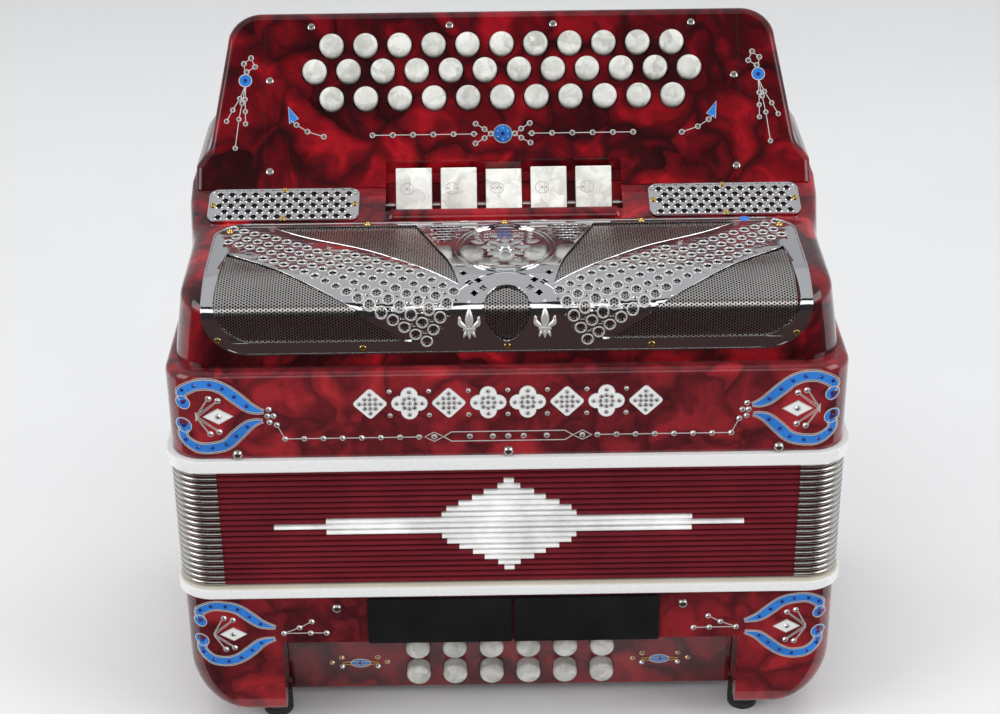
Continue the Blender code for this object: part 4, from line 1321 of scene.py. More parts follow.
def rosette(shape, run):
    """A generic rosette of two rings of leaves round a bead, inside the medallion."""
    low = 1.15
    for k in range(8):
        turn = 2 * math.pi * k / 8
        aim = Vector((math.cos(turn), math.sin(turn) * 1.05))
        middle = Vector((0, run))
        add_leaf(shape, grille_point, middle + aim * 4.2, middle + aim * 13.2, 2.7, low, 2.0)
        turn += math.pi / 8
        aim = Vector((math.cos(turn), math.sin(turn) * 1.05))
        add_leaf(shape, grille_point, middle + aim * 11.0, middle + aim * 19.4, 2.4, low, 1.8)
        add_bead(shape, grille_point, *(middle + aim * 9.0), 0.9, low, 10)
    add_bead(shape, grille_point, 0, run, 3.2, low, 20)
    add_torus(shape, grille_point, 0, run, 4.3, 0.4, low + 0.2)


def eyelet(shape, place, x, rise, lift):
    add_torus(shape, place, x, rise, 1.25, 0.42, lift, 18, 6)


def grille_eyelets():
    shape = bmesh.new()
    for x, run in EYELETS:
        for sign in ((-1, 1) if x else (1,)):
            eyelet(shape, grille_point, sign * x, run, 1.45)
    for sign in (-1, 1):
        for x, up in ((112.5, 2.6), (112.5, 25.4), (76.2, 14), (148.8, 14)):
            eyelet(shape, SLOPING, sign * x, up, 1.15)
    return make_piece("brass_eyelets", shape, BRASS, TREBLE, "brass")


def side_grille(sign):
    """Small flat grille on the register shelf with five rows of flower-shaped cells."""
    x0, x1, low, high = 74.0, 151.0, 1.5, 26.5
    outline = rounded([(sign * x0, low, 5), (sign * x1, low, 5), (sign * x1, high, 5),
                       (sign * x0, high, 5)], 8)
    holes, cells = [], []
    for row in range(5):
        rise = low + 3.6 + row * 4.45
        for k in range(12 - row % 2):
            x = x0 + 5.5 + k * 6.0 + 3.0 * (row % 2)
            cells.append((sign * x, rise))
            holes.append(flower(sign * x, rise, 1.9, 6, 0.45, 3))
    tag = "left" if sign < 0 else "right"
    plate = pierced_sheet(f"side_grille_{tag}", outline, holes, SLOPING, [], CHROME, "chrome_grille", 0.3,
                          0.6)
    relief = bmesh.new()
    for x, rise in cells:
        add_torus(relief, SLOPING, x, rise, 2.15, 0.3, 0.95, 14, 5)
        for dx, dy in ((3.0, 0.0), (-3.0, 0.0)):
            add_bead(relief, SLOPING, x + dx, rise + dy, 0.55, 0.85, 8)
    rim = rounded([(sign * (x0 + 0.5), low + 0.5, 4.5), (sign * (x1 - 0.5), low + 0.5, 4.5),
                   (sign * (x1 - 0.5), high - 0.5, 4.5), (sign * (x0 + 0.5), high - 0.5, 4.5)], 8)
    add_ribbon(relief, SLOPING, rim, 0.5, 0.8, 1.3, closed=True)
    make_piece(f"side_grille_relief_{tag}", relief, CHROME, TREBLE, "chrome_grille", crease=50)
    backing = bmesh.new()
    inner = rounded([(sign * (x0 + 1), low + 1, 4), (sign * (x1 - 1), low + 1, 4),
                     (sign * (x1 - 1), high - 1, 4), (sign * (x0 + 1), high - 1, 4)], 6)
    add_plate(backing, SLOPING, inner, 0.05, 0.18)
    make_piece(f"side_grille_cloth_{tag}", backing, BLACK, TREBLE, "black_baffle", crease=0)
    return plate


# ---------------------------------------------------------------- bass end

BASS_HALF = 166.0
BASS_FLOOR = 13.0
BASS_FRONT = 3.0
BASS_REAR = 183.0


def bass_outline():
    """Right half of the bass box seen from the front, top to bottom, with outward directions."""
    points = [Vector((BASS_HALF, LOWER_FRAME[0] + 1)), Vector((BASS_HALF, 65))]
    points += rounded([(BASS_HALF, 60, 0), (BASS_HALF, BASS_FLOOR, 30), (100, BASS_FLOOR, 0)], 14)[1:-1]
    points.append(Vector((118.0, BASS_FLOOR)))
    placed = []
    for i, here in enumerate(points):
        before = points[i - 1] if i else here + Vector((0, 1))
        after = points[i + 1] if i + 1 < len(points) else here - Vector((1, 0))
        along = (after - before).normalized()
        placed.append((here, Vector((-along.y, along.x))))
    return placed


def bass_casing():
    """Bass box with deep rounded corners, cut away for the button board and for the hand."""
    steps = 10
    rings = [[] for _ in range(2 * steps + 2)]
    for here, out in bass_outline():
        radius = 4.0 + 10.4 * out.x ** 2
        for k in range(steps + 1):
            turn = math.pi / 2 * k / steps
            drawn = here - out * (radius * (1 - math.sin(turn)))
            depth = radius * (1 - math.cos(turn))
            rings[k].append(at(drawn.x, BASS_FRONT + depth, drawn.y))
            rings[-1 - k].append(at(drawn.x, BASS_REAR - depth, drawn.y))
    shape = bmesh.new()
    add_symmetric(shape, rings)
    body = make_piece("bass_box", shape, RED_BASS, BASS, "red_pearloid", ["bass_casing"])
    recess = bmesh.new()
    back = BASS_MIDDLE[0] - math.tan(BASS_TILT) * (56 - BASS_MIDDLE[1])
    foot = BASS_MIDDLE[0] + math.tan(BASS_TILT) * BASS_MIDDLE[1]
    add_loops(recess, [[at(x, d, z) for d, z in ((-10, 56), (back + 3, 56), (foot + 3, 0), (-10, 0))]
                       for x in (-117, 117)])
    cut(body, recess)
    hand = bmesh.new()
    add_box(hand, ((-105, 105), (45, 200), (-10, 45)))
    cut(body, hand)
    well = bmesh.new()
    add_box(well, ((-98, 98), (50, 172), (44, 58)))
    cut(body, well)
    cut(body, bass_bores())
    soften(body, 0.7, 2, 40)
    return body


def bass_bores():
    bores = bmesh.new()
    for x, rise in bass_places().values():
        add_turned(bores, RECESS, x, rise, [(6.75, -10.3), (6.75, 3.0)], 28)
    return bores


def bass_button_board():
    """Leaning board of the bass buttons, which reaches down below the casing between its feet."""
    section = rounded([(0.0, 26.2, 0), (0.0, -23.2, 2.0), (-12.0, -21.8, 2.0), (-12.0, 26.2, 0)], 6)
    shape = bmesh.new()
    add_loops(shape, [[RECESS(x, p.y, p.x) for p in section] for x in (-116.7, 116.7)])
    board = make_piece("bass_button_board", shape, RED_BASS, BASS, "red_pearloid")
    cut(board, bass_bores())
    return board


def baffle_pads():
    """Two black foam pads over the bass sound holes, with a seam between them."""
    shape = bmesh.new()
    for x0, x1 in ((-72.5, 1.0), (1.8, 76.0)):
        loops = []
        for depth, inset in ((4.9, 0.0), (1.0, 0.0), (0.35, 0.25), (0.05, 0.9)):
            outline = rounded([(x0 + inset, 56.5 + inset, 1.0), (x1 - inset, 56.5 + inset, 1.0),
                               (x1 - inset, 83 - inset, 1.0), (x0 + inset, 83 - inset, 1.0)], 4)
            loops.append([at(p.x, depth, p.y) for p in outline])
        add_loops(shape, loops)
    return make_piece("baffle_pads", shape, BLACK, BASS, "black_baffle")


def under(x, depth, lift, level=14.5):
    return at(x, depth, level - lift)


def rubber_feet():
    shape = bmesh.new()
    profile = [(6.6, -1.0), (7.8, 0.0)]
    for k in range(4):
        profile += [(7.8, 1.6 + 2.6 * k), (7.2, 2.0 + 2.6 * k), (7.2, 2.4 + 2.6 * k),
                    (7.8, 2.8 + 2.6 * k)]
    profile += [(7.8, 13.6), (7.3, 14.3), (6.2, 14.5), (3.2, 14.5), (2.9, 13.2), (0.0, 13.2)]
    for sign in (-1, 1):
        for depth in (22, 164):
            add_turned(shape, under, sign * 123.5, depth, profile, 28)
    return make_piece("rubber_feet", shape, RUBBER, BASS, "rubber", crease=40)


def strap_height(x):
    return 10.0 + 10.0 * (x / 104.7) ** 2


def hand_strap():
    """Bowed leather strap with rolled edges and two rows of stitches."""
    shape = bmesh.new()
    loops = []
    for k in range(41):
        x = -104.6 + 209.2 * k / 40
        section = rounded([(70, 0, 1.2), (135, 0, 1.2), (135, 2.8, 1.2), (70, 2.8, 1.2)], 4)
        loops.append([at(x, p.x, strap_height(x) + p.y) for p in section])
    add_loops(shape, loops)
    make_piece("strap_band", shape, LEATHER, BASS, "strap_leather", ["hand_strap"])
    thread = bmesh.new()
    for depth in (74, 131):
        for k in range(44):
            x = -90 + 180 * k / 43

            def place(across, rise, lift, depth=depth):
                return at(across, depth + rise, strap_height(across) - lift)

            add_ribbon(thread, place, [(x - 1.3, 0), (x + 1.3, 0)], 0.35, -0.1, 0.25)
    make_piece("strap_stitches", thread, THREAD, BASS, "strap_leather")
    clamps = bmesh.new()
    for sign in (-1, 1):
        loops = []
        for depth, inset in ((70, 0.9), (70.6, 0.2), (71.5, 0), (133.5, 0), (134.4, 0.2), (135, 0.9)):
            section = rounded([(sign * (104.7 - inset), 16 + inset, 1.5),
                               (sign * (104.7 - inset), 26 - inset, 1.5),
                               (sign * (92.7 + inset), 26 - inset, 1.5),
                               (sign * (92.7 + inset), 16 + inset, 1.5)], 4)
            loops.append([at(p.x, depth, p.y) for p in section])
        add_loops(clamps, loops)
    make_piece("strap_clamps", clamps, CORNER_METAL, BASS, "corner_metal")


def bass_end_cover():
    """Thin cover under the hand, screwed on, with rows of vents and the bore of the air button."""
    def place(x, depth, lift):
        return at(x, depth, 44.6 - lift)

    outline = rounded([(-103.5, 47.2, 6), (103.5, 47.2, 6), (103.5, 180, 6), (-103.5, 180, 6)], 6)
    holes = [circle(86, 58, 6.4, 24)]
    for row in range(4):
        for k in range(9):
            x = -60 + k * 15
            depth = 90 + row * 15
            holes.append(rounded([(x - 4.5, depth - 1.2, 1.15), (x + 4.5, depth - 1.2, 1.15),
                                  (x + 4.5, depth + 1.2, 1.15), (x - 4.5, depth + 1.2, 1.15)], 3))
    pierced_sheet("bass_cover_plate", outline, holes, place, [], RED_BASS, "red_pearloid", 0.2, 2.2,
                  body=BASS, replaces=["bass_end_cover"])
    screws = bmesh.new()
    for x in (-97, 0, 97):
        for depth in (53.5, 174):
            add_screw(screws, place, x, depth, 2.4, 0.02 * x + depth, 2.35)
    make_piece("bass_cover_screws", screws, STEEL, BASS, "steel_screw")


def air_button():
    shape = bmesh.new()
    profile = [(8.0, -2.2), (8.0, -0.4), (6.0, -0.4), (6.0, 9.4), (5.7, 10.4), (5.0, 11.1), (4.2, 11.2),
               (2.2, 10.7), (0.0, 10.5)]

    def place(x, depth, lift):
        return at(x, depth, 45.2 - lift)

    add_turned(shape, place, 86, 58, profile, 36)
    for k in range(24):
        turn = 2 * math.pi * k / 24
        x, depth = 86 + 6.0 * math.cos(turn), 58 + 6.0 * math.sin(turn)
        add_turned(shape, place, x, depth, [(0.3, 7.6), (0.3, 9.3)], 6)
    return make_piece("air_button_cap", shape, STEEL, "air_button_body", "button_steel", ["air_button"])


def strap_brackets():
    """Metal plates on the rear of the treble box where the shoulder straps are buckled."""
    plates = bmesh.new()
    for sign in (-1, 1):
        def rear(x, z, lift):
            return at(x, 183 + lift, z)

        outline = rounded([(sign * 130 - 12, 180, 3), (sign * 130 + 12, 180, 3),
                           (sign * 130 + 12, 200, 3), (sign * 130 - 12, 200, 3)], 5)
        add_plate(plates, rear, outline, -0.2, 1.4, 0.4)
        for dx in (-8.5, 8.5):
            add_screw(plates, rear, sign * 130 + dx, 190, 1.8, 0.7, 1.3)
        loop = []
        for k in range(13):
            turn = math.pi * k / 12
            loop.append((sign * 130 - 5.5 * math.cos(turn), 3.6 * math.sin(turn)))
        rings = []
        for x, lift in loop:
            rings.append([at(x + 0.0, 183 + 1.0 + lift + 0.9 * math.cos(2 * math.pi * j / 8),
                             190 + 0.9 * math.sin(2 * math.pi * j / 8)) for j in range(8)])
        add_loops(plates, rings)
    return make_piece("strap_brackets", plates, STEEL, TREBLE, "steel_screw")


# ---------------------------------------------------------------- inlays

def wrap_face(centre, radius, depth):
    """A box's front face that carries on round its corners."""
    def place(x, z, lift=0.0):
        beyond = max(abs(x) - centre, 0)
        if not beyond:
            return at(x, depth - lift, z)
        fall = math.sqrt(max(radius ** 2 - min(beyond, radius - 0.1) ** 2, 0))
        out = Vector((math.copysign(beyond / radius, x), -fall / radius))
        return at(x + out.x * lift, depth + radius - fall + out.y * lift, z)
    return place


CASE_FRONT = wrap_face(149.0, 17.0, 3.0)
BASS_FACE = wrap_face(151.6, 14.4, 3.0)


class Inlay:
    """Stones, silver lines and coloured plates that are set in one face."""

    def __init__(self, place):
        self.place = place
        self.parts = {key: bmesh.new() for key in ("stone", "dark", "amber", "silver", "blue", "white",
                                                   "gold")}

    def stone(self, x, y, radius=1.2, kind="stone"):
        for sign in (-1, 1):
            if sign > 0 or x:
                add_turned(self.parts[kind], self.place, sign * x, y, [
                    (radius, 0.02), (radius, 0.30), (radius * 0.62, 0.85), (0.0, 0.86)], 8, 0.39)
                if kind != "dark":
                    add_torus(self.parts["silver"], self.place, sign * x, y, radius + 0.10, 0.22, 0.18,
                              12, 5)

    def line(self, points, half=0.22, closed=False):
        fine = []
        ends = list(points) + ([points[0]] if closed else [])
        for a, b in zip(ends, ends[1:]):
            pieces = max(int((Vector(b) - Vector(a)).length / 2.5), 1)
            fine += [Vector(a).lerp(Vector(b), k / pieces) for k in range(pieces)]
        if not closed:
            fine.append(Vector(ends[-1]))
        for sign in (-1, 1):
            run = [(sign * p[0], p[1]) for p in fine]
            add_ribbon(self.parts["silver"], self.place, run, half, 0.0, 0.22, closed)

    def plate(self, points, key="blue", high=0.16, edge=0.22):
        for sign in (-1, 1):
            run = [(sign * p[0], p[1]) for p in points]
            add_plate(self.parts[key], self.place, run, 0.0, high)
            if edge:
                add_ribbon(self.parts["silver"], self.place, run, edge, 0.0, 0.28, True)

    def disc(self, x, y, radius, key="blue"):
        self.plate(circle(x, y, radius, 24), key)

    def band(self, path, key="blue"):
        """A band of varying width with a double silver outline: the path holds (x, y, half width)."""
        spots = smooth_curve([p[:2] for p in path], 5)
        widths = [w.x for w in smooth_curve([(p[2], 0) for p in path], 5)]
        left, right = [], []
        for i, here in enumerate(spots):
            along = (spots[min(i + 1, len(spots) - 1)] - spots[max(i - 1, 0)]).normalized()
            side = Vector((-along.y, along.x))
            left.append(here + side * widths[i])
            right.append(here - side * widths[i])
        for sign in (-1, 1):
            rings = []
            for a, b in zip(left, right):
                rings.append([self.place(sign * a.x, a.y, 0.0), self.place(sign * a.x, a.y, 0.15),
                              self.place(sign * b.x, b.y, 0.15), self.place(sign * b.x, b.y, 0.0)])
            add_loops(self.parts[key], rings)
        for edge, way in ((left, 1), (right, -1)):
            self.line(edge, 0.2)
            outer = []
            for i, here in enumerate(edge):
                along = (edge[min(i + 1, len(edge) - 1)] - edge[max(i - 1, 0)]).normalized()
                outer.append(here + Vector((-along.y, along.x)) * way * 0.75)
            self.line(outer, 0.16)

    def finish(self, name, body):
        finishes = {"stone": (GEM, "rhinestone"), "dark": (BLUE_GEM, "blue_stone"),
                    "amber": (AMBER_GEM, "rhinestone"),
                    "silver": (SILVER, "silver_line"), "blue": (BLUE, "blue_inlay"),
                    "white": (WHITE, "white_frame"),
                    "gold": (BRASS, "brass")}
        for key, shape in self.parts.items():
            if len(shape.verts):
                finish, slot = finishes[key]
                facets = 1 if key in ("stone", "dark", "amber") else 40
                make_piece(f"{name}_{key}", shape, finish, body, slot, crease=facets, weighted=facets > 1)
            else:
                shape.free()


def board_inlay():
    work = Inlay(BOARD)
    work.disc(0, -34, 4.8)
    work.stone(0, -34, 1.2, "dark")
    for k in range(6):
        turn = math.pi * (2 * k + 1) / 6
        add_bead(work.parts["silver"], BOARD, 3.0 * math.cos(turn), -34 + 3.0 * math.sin(turn), 0.35, 0.1,
                 8)
    for x in (15, 25.5, 36, 46.5, 57, 67.5):
        work.stone(x, -34)
    work.line([(13, -34), (67.5, -34)])
    for x, y in ((14, -28.6), (9.5, -31.5), (6.2, -34), (9.5, -36.3), (14.2, -39)):
        work.stone(x, y)
    work.line([(14, -28.6), (9.5, -31.5), (6.2, -34), (9.5, -36.3), (14.2, -39)])
    work.plate([(111, -18.2), (105.8, -24.7), (110.4, -27.3)])
    for x, y in ((106.8, -27.9), (101.1, -31.6), (92.7, -34.4)):
        work.stone(x, y)
    work.line([(109.6, -25.6), (106.8, -27.9), (101.1, -31.6), (92.7, -34.4)])
    work.disc(133.3, -4, 3.3)
    work.stone(133.3, -4, 1.1, "dark")
    for x, y in ((130.4, 8), (134.1, 5), (128.3, 3.3), (132.6, 0.6)):
        work.stone(x, y)
    work.line([(133.3, -0.6), (134.1, 5), (130.4, 8), (128.3, 3.3), (132.6, 0.6)])
    strands = (
        [(133.6, -7.4), (136.2, -13.5), (139.8, -19.6), (143, -25.5)],
        [(133.4, -7.4), (135.0, -16.0), (136.6, -24.5), (138.5, -39.8)],
        [(133.2, -7.4), (133.4, -14.0), (133.3, -20.5), (133.2, -27)])
    for strand in strands:
        work.line(strand)
        for x, y in strand[1:]:
            work.stone(x, y, 1.05)
    work.finish("board_inlay", TREBLE)


HEART_UPPER = [(156.4, 198.6, 1.6), (157.2, 202.6, 2.1), (150.6, 207.1, 2.3), (143, 207.6, 2.4),
               (137, 205.3, 2.5), (131.6, 200.8, 2.7), (125.4, 195.2, 2.3), (121.2, 193.1, 1.4),
               (117.9, 192.4, 0.3)]
HEART_LOWER = [(157.4, 182.6, 1.7), (157.6, 177.4, 2.1), (151.2, 173.0, 2.3), (144, 172.5, 2.4),
               (137, 174.4, 2.5), (131.8, 179.2, 2.6), (126, 184.6, 2.1), (122.0, 186.6, 1.2),
               (118.6, 187.2, 0.3)]


def case_inlay():
    work = Inlay(CASE_FRONT)
    work.band(HEART_UPPER)
    work.band(HEART_LOWER)
    work.disc(156.7, 197.2, 3.5)
    work.disc(157.2, 184.5, 3.9)
    for x, z in ((156.7, 197.2), (157.2, 184.5), (156.6, 204.0), (150.6, 207.1), (143, 207.6),
                 (137, 205.3),
                 (131.6, 200.8), (126, 195.6), (156.9, 176.6), (151.0, 173.0), (144, 172.5), (137, 174.4),
                 (132, 179.0), (126.4, 184.2)):
        work.stone(x, z, 1.0, "dark")
    work.plate([(147.2, 190), (140, 194.2), (132.8, 190), (140, 185.8)], "white", edge=0.3)
    work.stone(140, 190, 1.4)
    for x, z in ((144, 199.9), (139.7, 198.7), (144.4, 180.4), (140, 181.5)):
        work.stone(x, z, 1.25)
        for shift in (-0.35, 0.35):
            work.line([(150.6, 190 + shift * 2), (x + 1.0, z + math.copysign(0.9, 190 - z) + shift)],
                      0.14)
    work.line([(150.8, 187.6), (150.8, 192.4)], 0.3)
    for x, z in ((115.4, 193.5), (116.2, 189.9), (113.3, 189.9), (115.4, 186.5), (112, 184.9)):
        work.stone(x, z, 1.15)
    work.line([(112, 184.9), (108.4, 177), (42.6, 177)])
    for k in range(8):
        work.stone(108.4 - 9.3 * k, 177, 1.15)
    work.line([(40.6, 177), (36, 179.6), (31.4, 177), (36, 174.4)], closed=True)
    work.stone(36, 177, 1.15)
    work.line([(31.4, 177), (27.6, 179.6), (0, 179.6)])
    work.line([(31.4, 177), (27.6, 174.4), (0, 174.4)])
    for x in (18.7, 7.5, 0):
        work.stone(x, 177, 1.15)
    ornament_row(work)
    work.finish("case_inlay", TREBLE)


def ornament_row(work):
    """A row of white enamel lozenges and four-lobed flowers, each set with stones."""
    middle, pitch = 195.8, 19.0
    for k in range(4):
        x = pitch * (k + 0.5)
        if k % 2:
            shape = [(x, middle + 8.4), (x + 8.4, middle), (x, middle - 8.4), (x - 8.4, middle)]
            work.plate([tuple(p) for p in rounded([(px, py, 1.4) for px, py in shape], 4)], "white", 0.3,
                       0.3)
            spots = [(0, 0)] + [(dx * s, dy * s) for s in (2.6, 5.2)
                                for dx, dy in ((1, 0), (-1, 0), (0, 1), (0, -1))]
            spots += [(dx * 2.6, dy * 2.6) for dx in (-1, 1) for dy in (-1, 1)]
        else:
            work.plate([tuple(p) for p in flower(x, middle, 8.6, 4, 0.34, 8)], "white", 0.3, 0.3)
            spots = [(0, 0)] + [(dx * s, dy * s) for s in (3.0, 6.2)
                                for dx, dy in ((1, 0), (-1, 0), (0, 1), (0, -1))]
            spots += [(dx * 3.4, dy * 3.4) for dx in (-0.72, 0.72) for dy in (-0.72, 0.72)]
        for dx, dy in spots:
            work.stone(x + dx, middle + dy, 1.0)
    for k in range(1, 4):
        work.stone(pitch * k, middle + 6.6, 0.9)
        work.stone(pitch * k, middle - 6.6, 0.9)
    work.stone(0, middle + 6.6, 0.9)
    work.stone(0, middle - 6.6, 0.9)


BASS_UPPER = [(157.8, 71.2, 1.6), (158.0, 75.4, 2.0), (152, 79.3, 2.1), (144.7, 79.1, 2.2),
              (138.5, 77.2, 2.3),
              (132.8, 72.6, 2.4), (127.0, 68.0, 1.9), (119.8, 65.7, 0.3)]
BASS_LOWER = [(158.0, 56.2, 1.7), (158.0, 51.4, 2.1), (152.6, 46.4, 2.2), (145, 45.2, 2.2),
              (138.6, 47.4, 2.3),
              (132.6, 52.0, 2.4), (127.2, 56.6, 1.9), (120.3, 58.8, 0.3)]


def bass_inlay():
    work = Inlay(BASS_FACE)
    work.band(BASS_UPPER)
    work.band(BASS_LOWER)
    work.disc(158, 69.7, 3.3)
    work.disc(158, 57.8, 3.6)
    for x, z in ((158, 69.7), (158, 57.8), (157.6, 76.4), (152, 79.3), (144.7, 79.1), (138.5, 77.2),
                 (132.8, 72.6),
                 (127.4, 68.2), (157.8, 50.6), (152.6, 46.4), (145, 45.2), (138.6, 47.4), (132.6, 52.0),
                 (127.6, 56.4)):
        work.stone(x, z, 0.95, "dark")
    work.plate([(148.2, 62), (141.5, 65.9), (134.8, 62), (141.5, 58.1)], "white", edge=0.3)
    work.stone(141.7, 62, 1.3)
    for x, z in ((145.8, 72), (141.3, 70.7), (145.9, 52.7), (141.4, 53.6)):
        work.stone(x, z, 1.2)
        for shift in (-0.35, 0.35):
            work.line([(151.6, 62 + shift * 2), (x + 1.0, z + math.copysign(0.9, 62 - z) + shift)], 0.14)
    for x, z in ((115.7, 62), (107.6, 65.4), (101.2, 69), (102, 62), (93.9, 61.9)):
        work.stone(x, z, 1.2)
    work.line([(115.7, 62), (107.6, 65.4), (101.2, 69)])
    work.line([(115.7, 62), (102, 62), (93.9, 61.9)])
    pins = bmesh.new()
    for sign in (-1, 1):
        add_bead(pins, BASS_FACE, sign * 88, 77, 2.6, 0.0, 20)
    make_piece("bass_bellows_pins", pins, STEEL, BASS, "steel_screw")
    work.finish("bass_inlay", BASS)
    low = Inlay(RECESS)
    oval = [(79.2 + 5.2 * math.cos(2 * math.pi * k / 28), -4.8 + 2.8 * math.sin(2 * math.pi * k / 28))
            for k in range(28)]
    low.plate(oval)
    for shift in (-1.1, 1.1):
        for sign in (-1, 1):
            add_ribbon(low.parts["gold"], RECESS,
                       [(sign * 69.5, -4.8 + shift * 0.4), (sign * 74.2, -4.8 + shift),
                       (sign * 84.2, -4.8 + shift), (sign * 89, -4.8 + shift * 0.4)], 0.2, 0.0, 0.32)
    low.stone(79.2, -4.8, 1.1, "dark")
    for x, y in ((94.3, -4.2), (89, -0.7), (70, -0.8), (65, -4.2)):
        low.stone(x, y, 1.15, "amber")
    for x, y in ((89, -7.1), (70, -7.3)):
        low.stone(x, y, 1.15)
    low.finish("bass_board_inlay", BASS)


def bellows_pins():
    """Domed pins that hold the bellows frame to the treble box."""
    shape = bmesh.new()
    dome = [(2.6, -0.2), (2.6, 0.5), (2.3, 1.3), (1.5, 2.1), (0.6, 2.4)]

    def rear(across, z, lift):
        return at(across, 183 + lift, z)

    for x in (-132, 0, 132):
        for place in (CASE_FRONT, rear):
            add_turned(shape, place, x, 168.9, dome, 24)
    return make_piece("bellows_pins", shape, STEEL, TREBLE, "steel_screw")


def grille_badge():
    """Small blue enamel dot by the grille's rear edge."""
    shape = bmesh.new()
    add_turned(shape, grille_point, 121, 101.0, [(2.6, 1.2), (2.6, 1.6), (2.0, 1.8), (0.0, 1.85)], 20)
    return make_piece("grille_enamel_dot", shape, BLUE, TREBLE, "blue_inlay")


# ---------------------------------------------------------------- floor, light and camera

def soft_light(name, place, aim, size, power, tint=(1, 1, 1)):
    lamp = bpy.data.lights.new(name, "AREA")
    lamp.shape = "RECTANGLE"
    lamp.size, lamp.size_y = size
    lamp.energy = power
    lamp.color = tint
    holder = bpy.data.objects.new(name, lamp)
    holder.location = place
    holder.rotation_euler = (Vector(aim) - Vector(place)).to_track_quat("-Z", "Y").to_euler()
    bpy.context.scene.collection.objects.link(holder)
    return holder


FLAG_HALF = 2.6
FLAG_NEAR_HALF = 1.5
FLAG_NEAR = -0.115
FLAG_FAR = -1.9
FLAG_TOP = 3.4
FLAG_LIFT = 0.003


def back_flag():
    """Dark cloth behind the camera, seen only in the gloss."""
    mesh = bpy.data.meshes.new("back_flag")
    corners = [(-FLAG_HALF, FLAG_FAR, 0.0), (FLAG_HALF, FLAG_FAR, 0.0),
               (FLAG_HALF, FLAG_FAR, FLAG_TOP), (-FLAG_HALF, FLAG_FAR, FLAG_TOP)]
    mesh.from_pydata(corners, [], [(0, 1, 2, 3)])
    wall = bpy.data.objects.new("back_flag", mesh)
    bpy.context.scene.collection.objects.link(wall)
    mesh.materials.append(plain_finish("back_felt", (0.02, 0.02, 0.022), 0.9))
    return wall


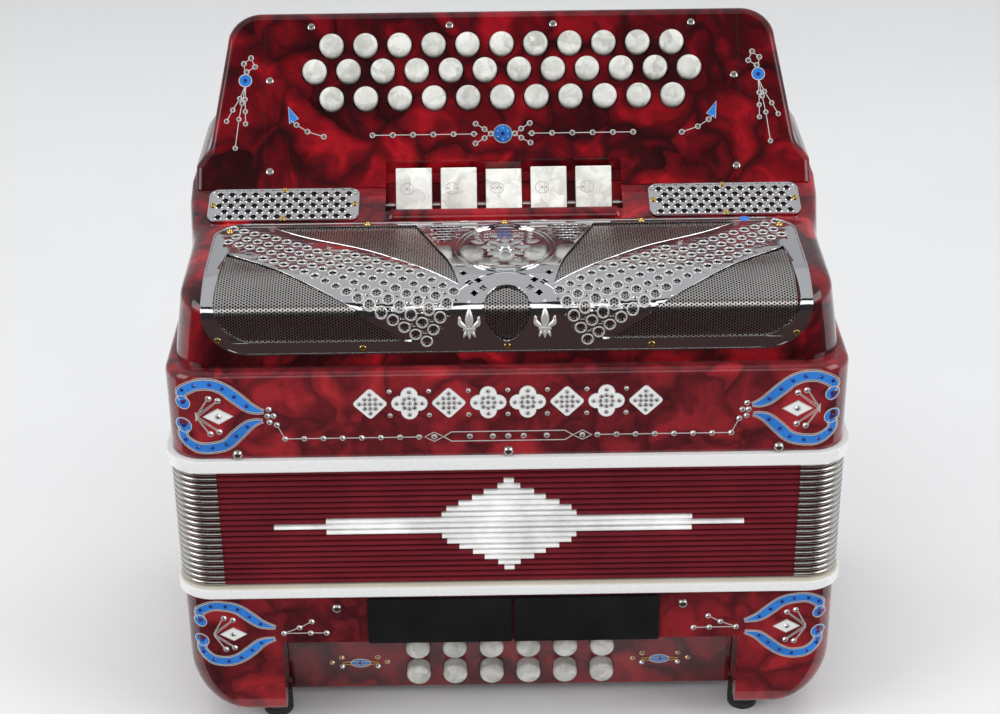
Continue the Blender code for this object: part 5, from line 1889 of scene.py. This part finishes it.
def studio():
    floor_mesh = bpy.data.meshes.new("floor")
    shape = bmesh.new()
    reach = 6.0
    loops = []
    for y, z in ((-4.0, 0.0), (2.4, 0.0), (3.0, 0.12), (3.5, 0.5), (3.8, 1.2), (3.9, 4.0)):
        loops.append([Vector((-reach, y, z)), Vector((reach, y, z))])
    rows = [[shape.verts.new(p) for p in pair] for pair in loops]
    for low, high in zip(rows, rows[1:]):
        shape.faces.new((low[0], low[1], high[1], high[0]))
    shape.to_mesh(floor_mesh)
    shape.free()
    floor_mesh.shade_smooth()
    floor = bpy.data.objects.new("floor", floor_mesh)
    bpy.context.scene.collection.objects.link(floor)
    floor_mesh.materials.append(plain_finish("studio_paper", (0.765, 0.768, 0.77), 0.75, grain=60.0,
                                             spread=0.015))

    flag_mesh = bpy.data.meshes.new("dark_flag")
    corners = [(-FLAG_NEAR_HALF, FLAG_NEAR, FLAG_LIFT), (FLAG_NEAR_HALF, FLAG_NEAR, FLAG_LIFT),
               (FLAG_HALF, FLAG_FAR, FLAG_LIFT), (-FLAG_HALF, FLAG_FAR, FLAG_LIFT)]
    flag_mesh.from_pydata(corners, [], [(0, 1, 2, 3)])
    flag = bpy.data.objects.new("dark_flag", flag_mesh)
    bpy.context.scene.collection.objects.link(flag)
    flag_mesh.materials.append(plain_finish("flag_felt", (0.026, 0.008, 0.007), 0.9))
    for wall in (flag, back_flag()):
        wall.visible_camera = False
        wall.visible_diffuse = False
        wall.visible_shadow = False

    world = bpy.data.worlds.new("studio_air")
    bpy.context.scene.world = world
    world.use_nodes = True
    air = world.node_tree.nodes["Background"]
    air.inputs["Color"].default_value = (0.88, 0.895, 0.92, 1)
    air.inputs["Strength"].default_value = 0.55
    soft_light("top_box", (0.0, 0.15, 1.75), (0, 0, 0.2), (2.2, 1.6), 20).visible_glossy = False
    soft_light("left_box", (-1.35, -0.75, 0.95), (0, 0, 0.2), (0.9, 1.1), 9)
    soft_light("right_box", (1.35, -0.70, 0.95), (0, 0, 0.2), (0.9, 1.1), 8.6)
    soft_light("front_box", (0.0, -1.6, 1.35), (0, 0, 0.15), (1.6, 0.7), 4.5)


def camera():
    pitch, yaw, roll = 0.488623, 0.006096, -0.011536
    forward = Vector((math.sin(yaw) * math.cos(pitch), math.cos(yaw) * math.cos(pitch), -math.sin(pitch)))
    level = Vector((math.cos(yaw), -math.sin(yaw), 0))
    up = level.cross(forward)
    right = level * math.cos(roll) + up * math.sin(roll)
    up = up * math.cos(roll) - level * math.sin(roll)
    eye = bpy.data.cameras.new("photo_camera")
    eye.lens = 74.66
    eye.sensor_width = 36.0
    eye.clip_start = 0.05
    holder = bpy.data.objects.new("photo_camera", eye)
    turn = Matrix((right, up, -forward)).transposed().to_4x4()
    holder.matrix_world = Matrix.Translation((-0.00892, -0.96410, 0.68396)) @ turn
    bpy.context.scene.collection.objects.link(holder)
    bpy.context.scene.camera = holder


# ---------------------------------------------------------------- the instrument

bellows_frame("upper_bellows_frame", UPPER_FRAME[0], UPPER_FRAME[1], TREBLE)
bellows_frame("lower_bellows_frame", LOWER_FRAME[0], LOWER_FRAME[1] - 0.9, BASS)
gasket("lower_frame_gasket", LOWER_FRAME[1] - 0.9, LOWER_FRAME[1], 1.2, BASS)
treble_shell()
treble_cover()
sound_chamber()
register_roll()
register_axle()
fingerboard()
cover_plate_seams()
board_screws()
buttons()
register_switches()
bellows()
bellows_corners()
treble_grille()
grille_mesh()
grille_relief()
grille_eyelets()
grille_badge()
for side in (-1, 1):
    side_grille(side)
bass_casing()
bass_button_board()
baffle_pads()
rubber_feet()
hand_strap()
bass_end_cover()
air_button()
strap_brackets()
bellows_pins()
board_inlay()
case_inlay()
bass_inlay()
reed_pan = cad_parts["treble_reed_pan"]
reed_pan.data.materials.clear()
reed_pan.data.materials.append(WOOD)

studio()
camera()
bpy.context.scene.view_settings.view_transform = "Standard"
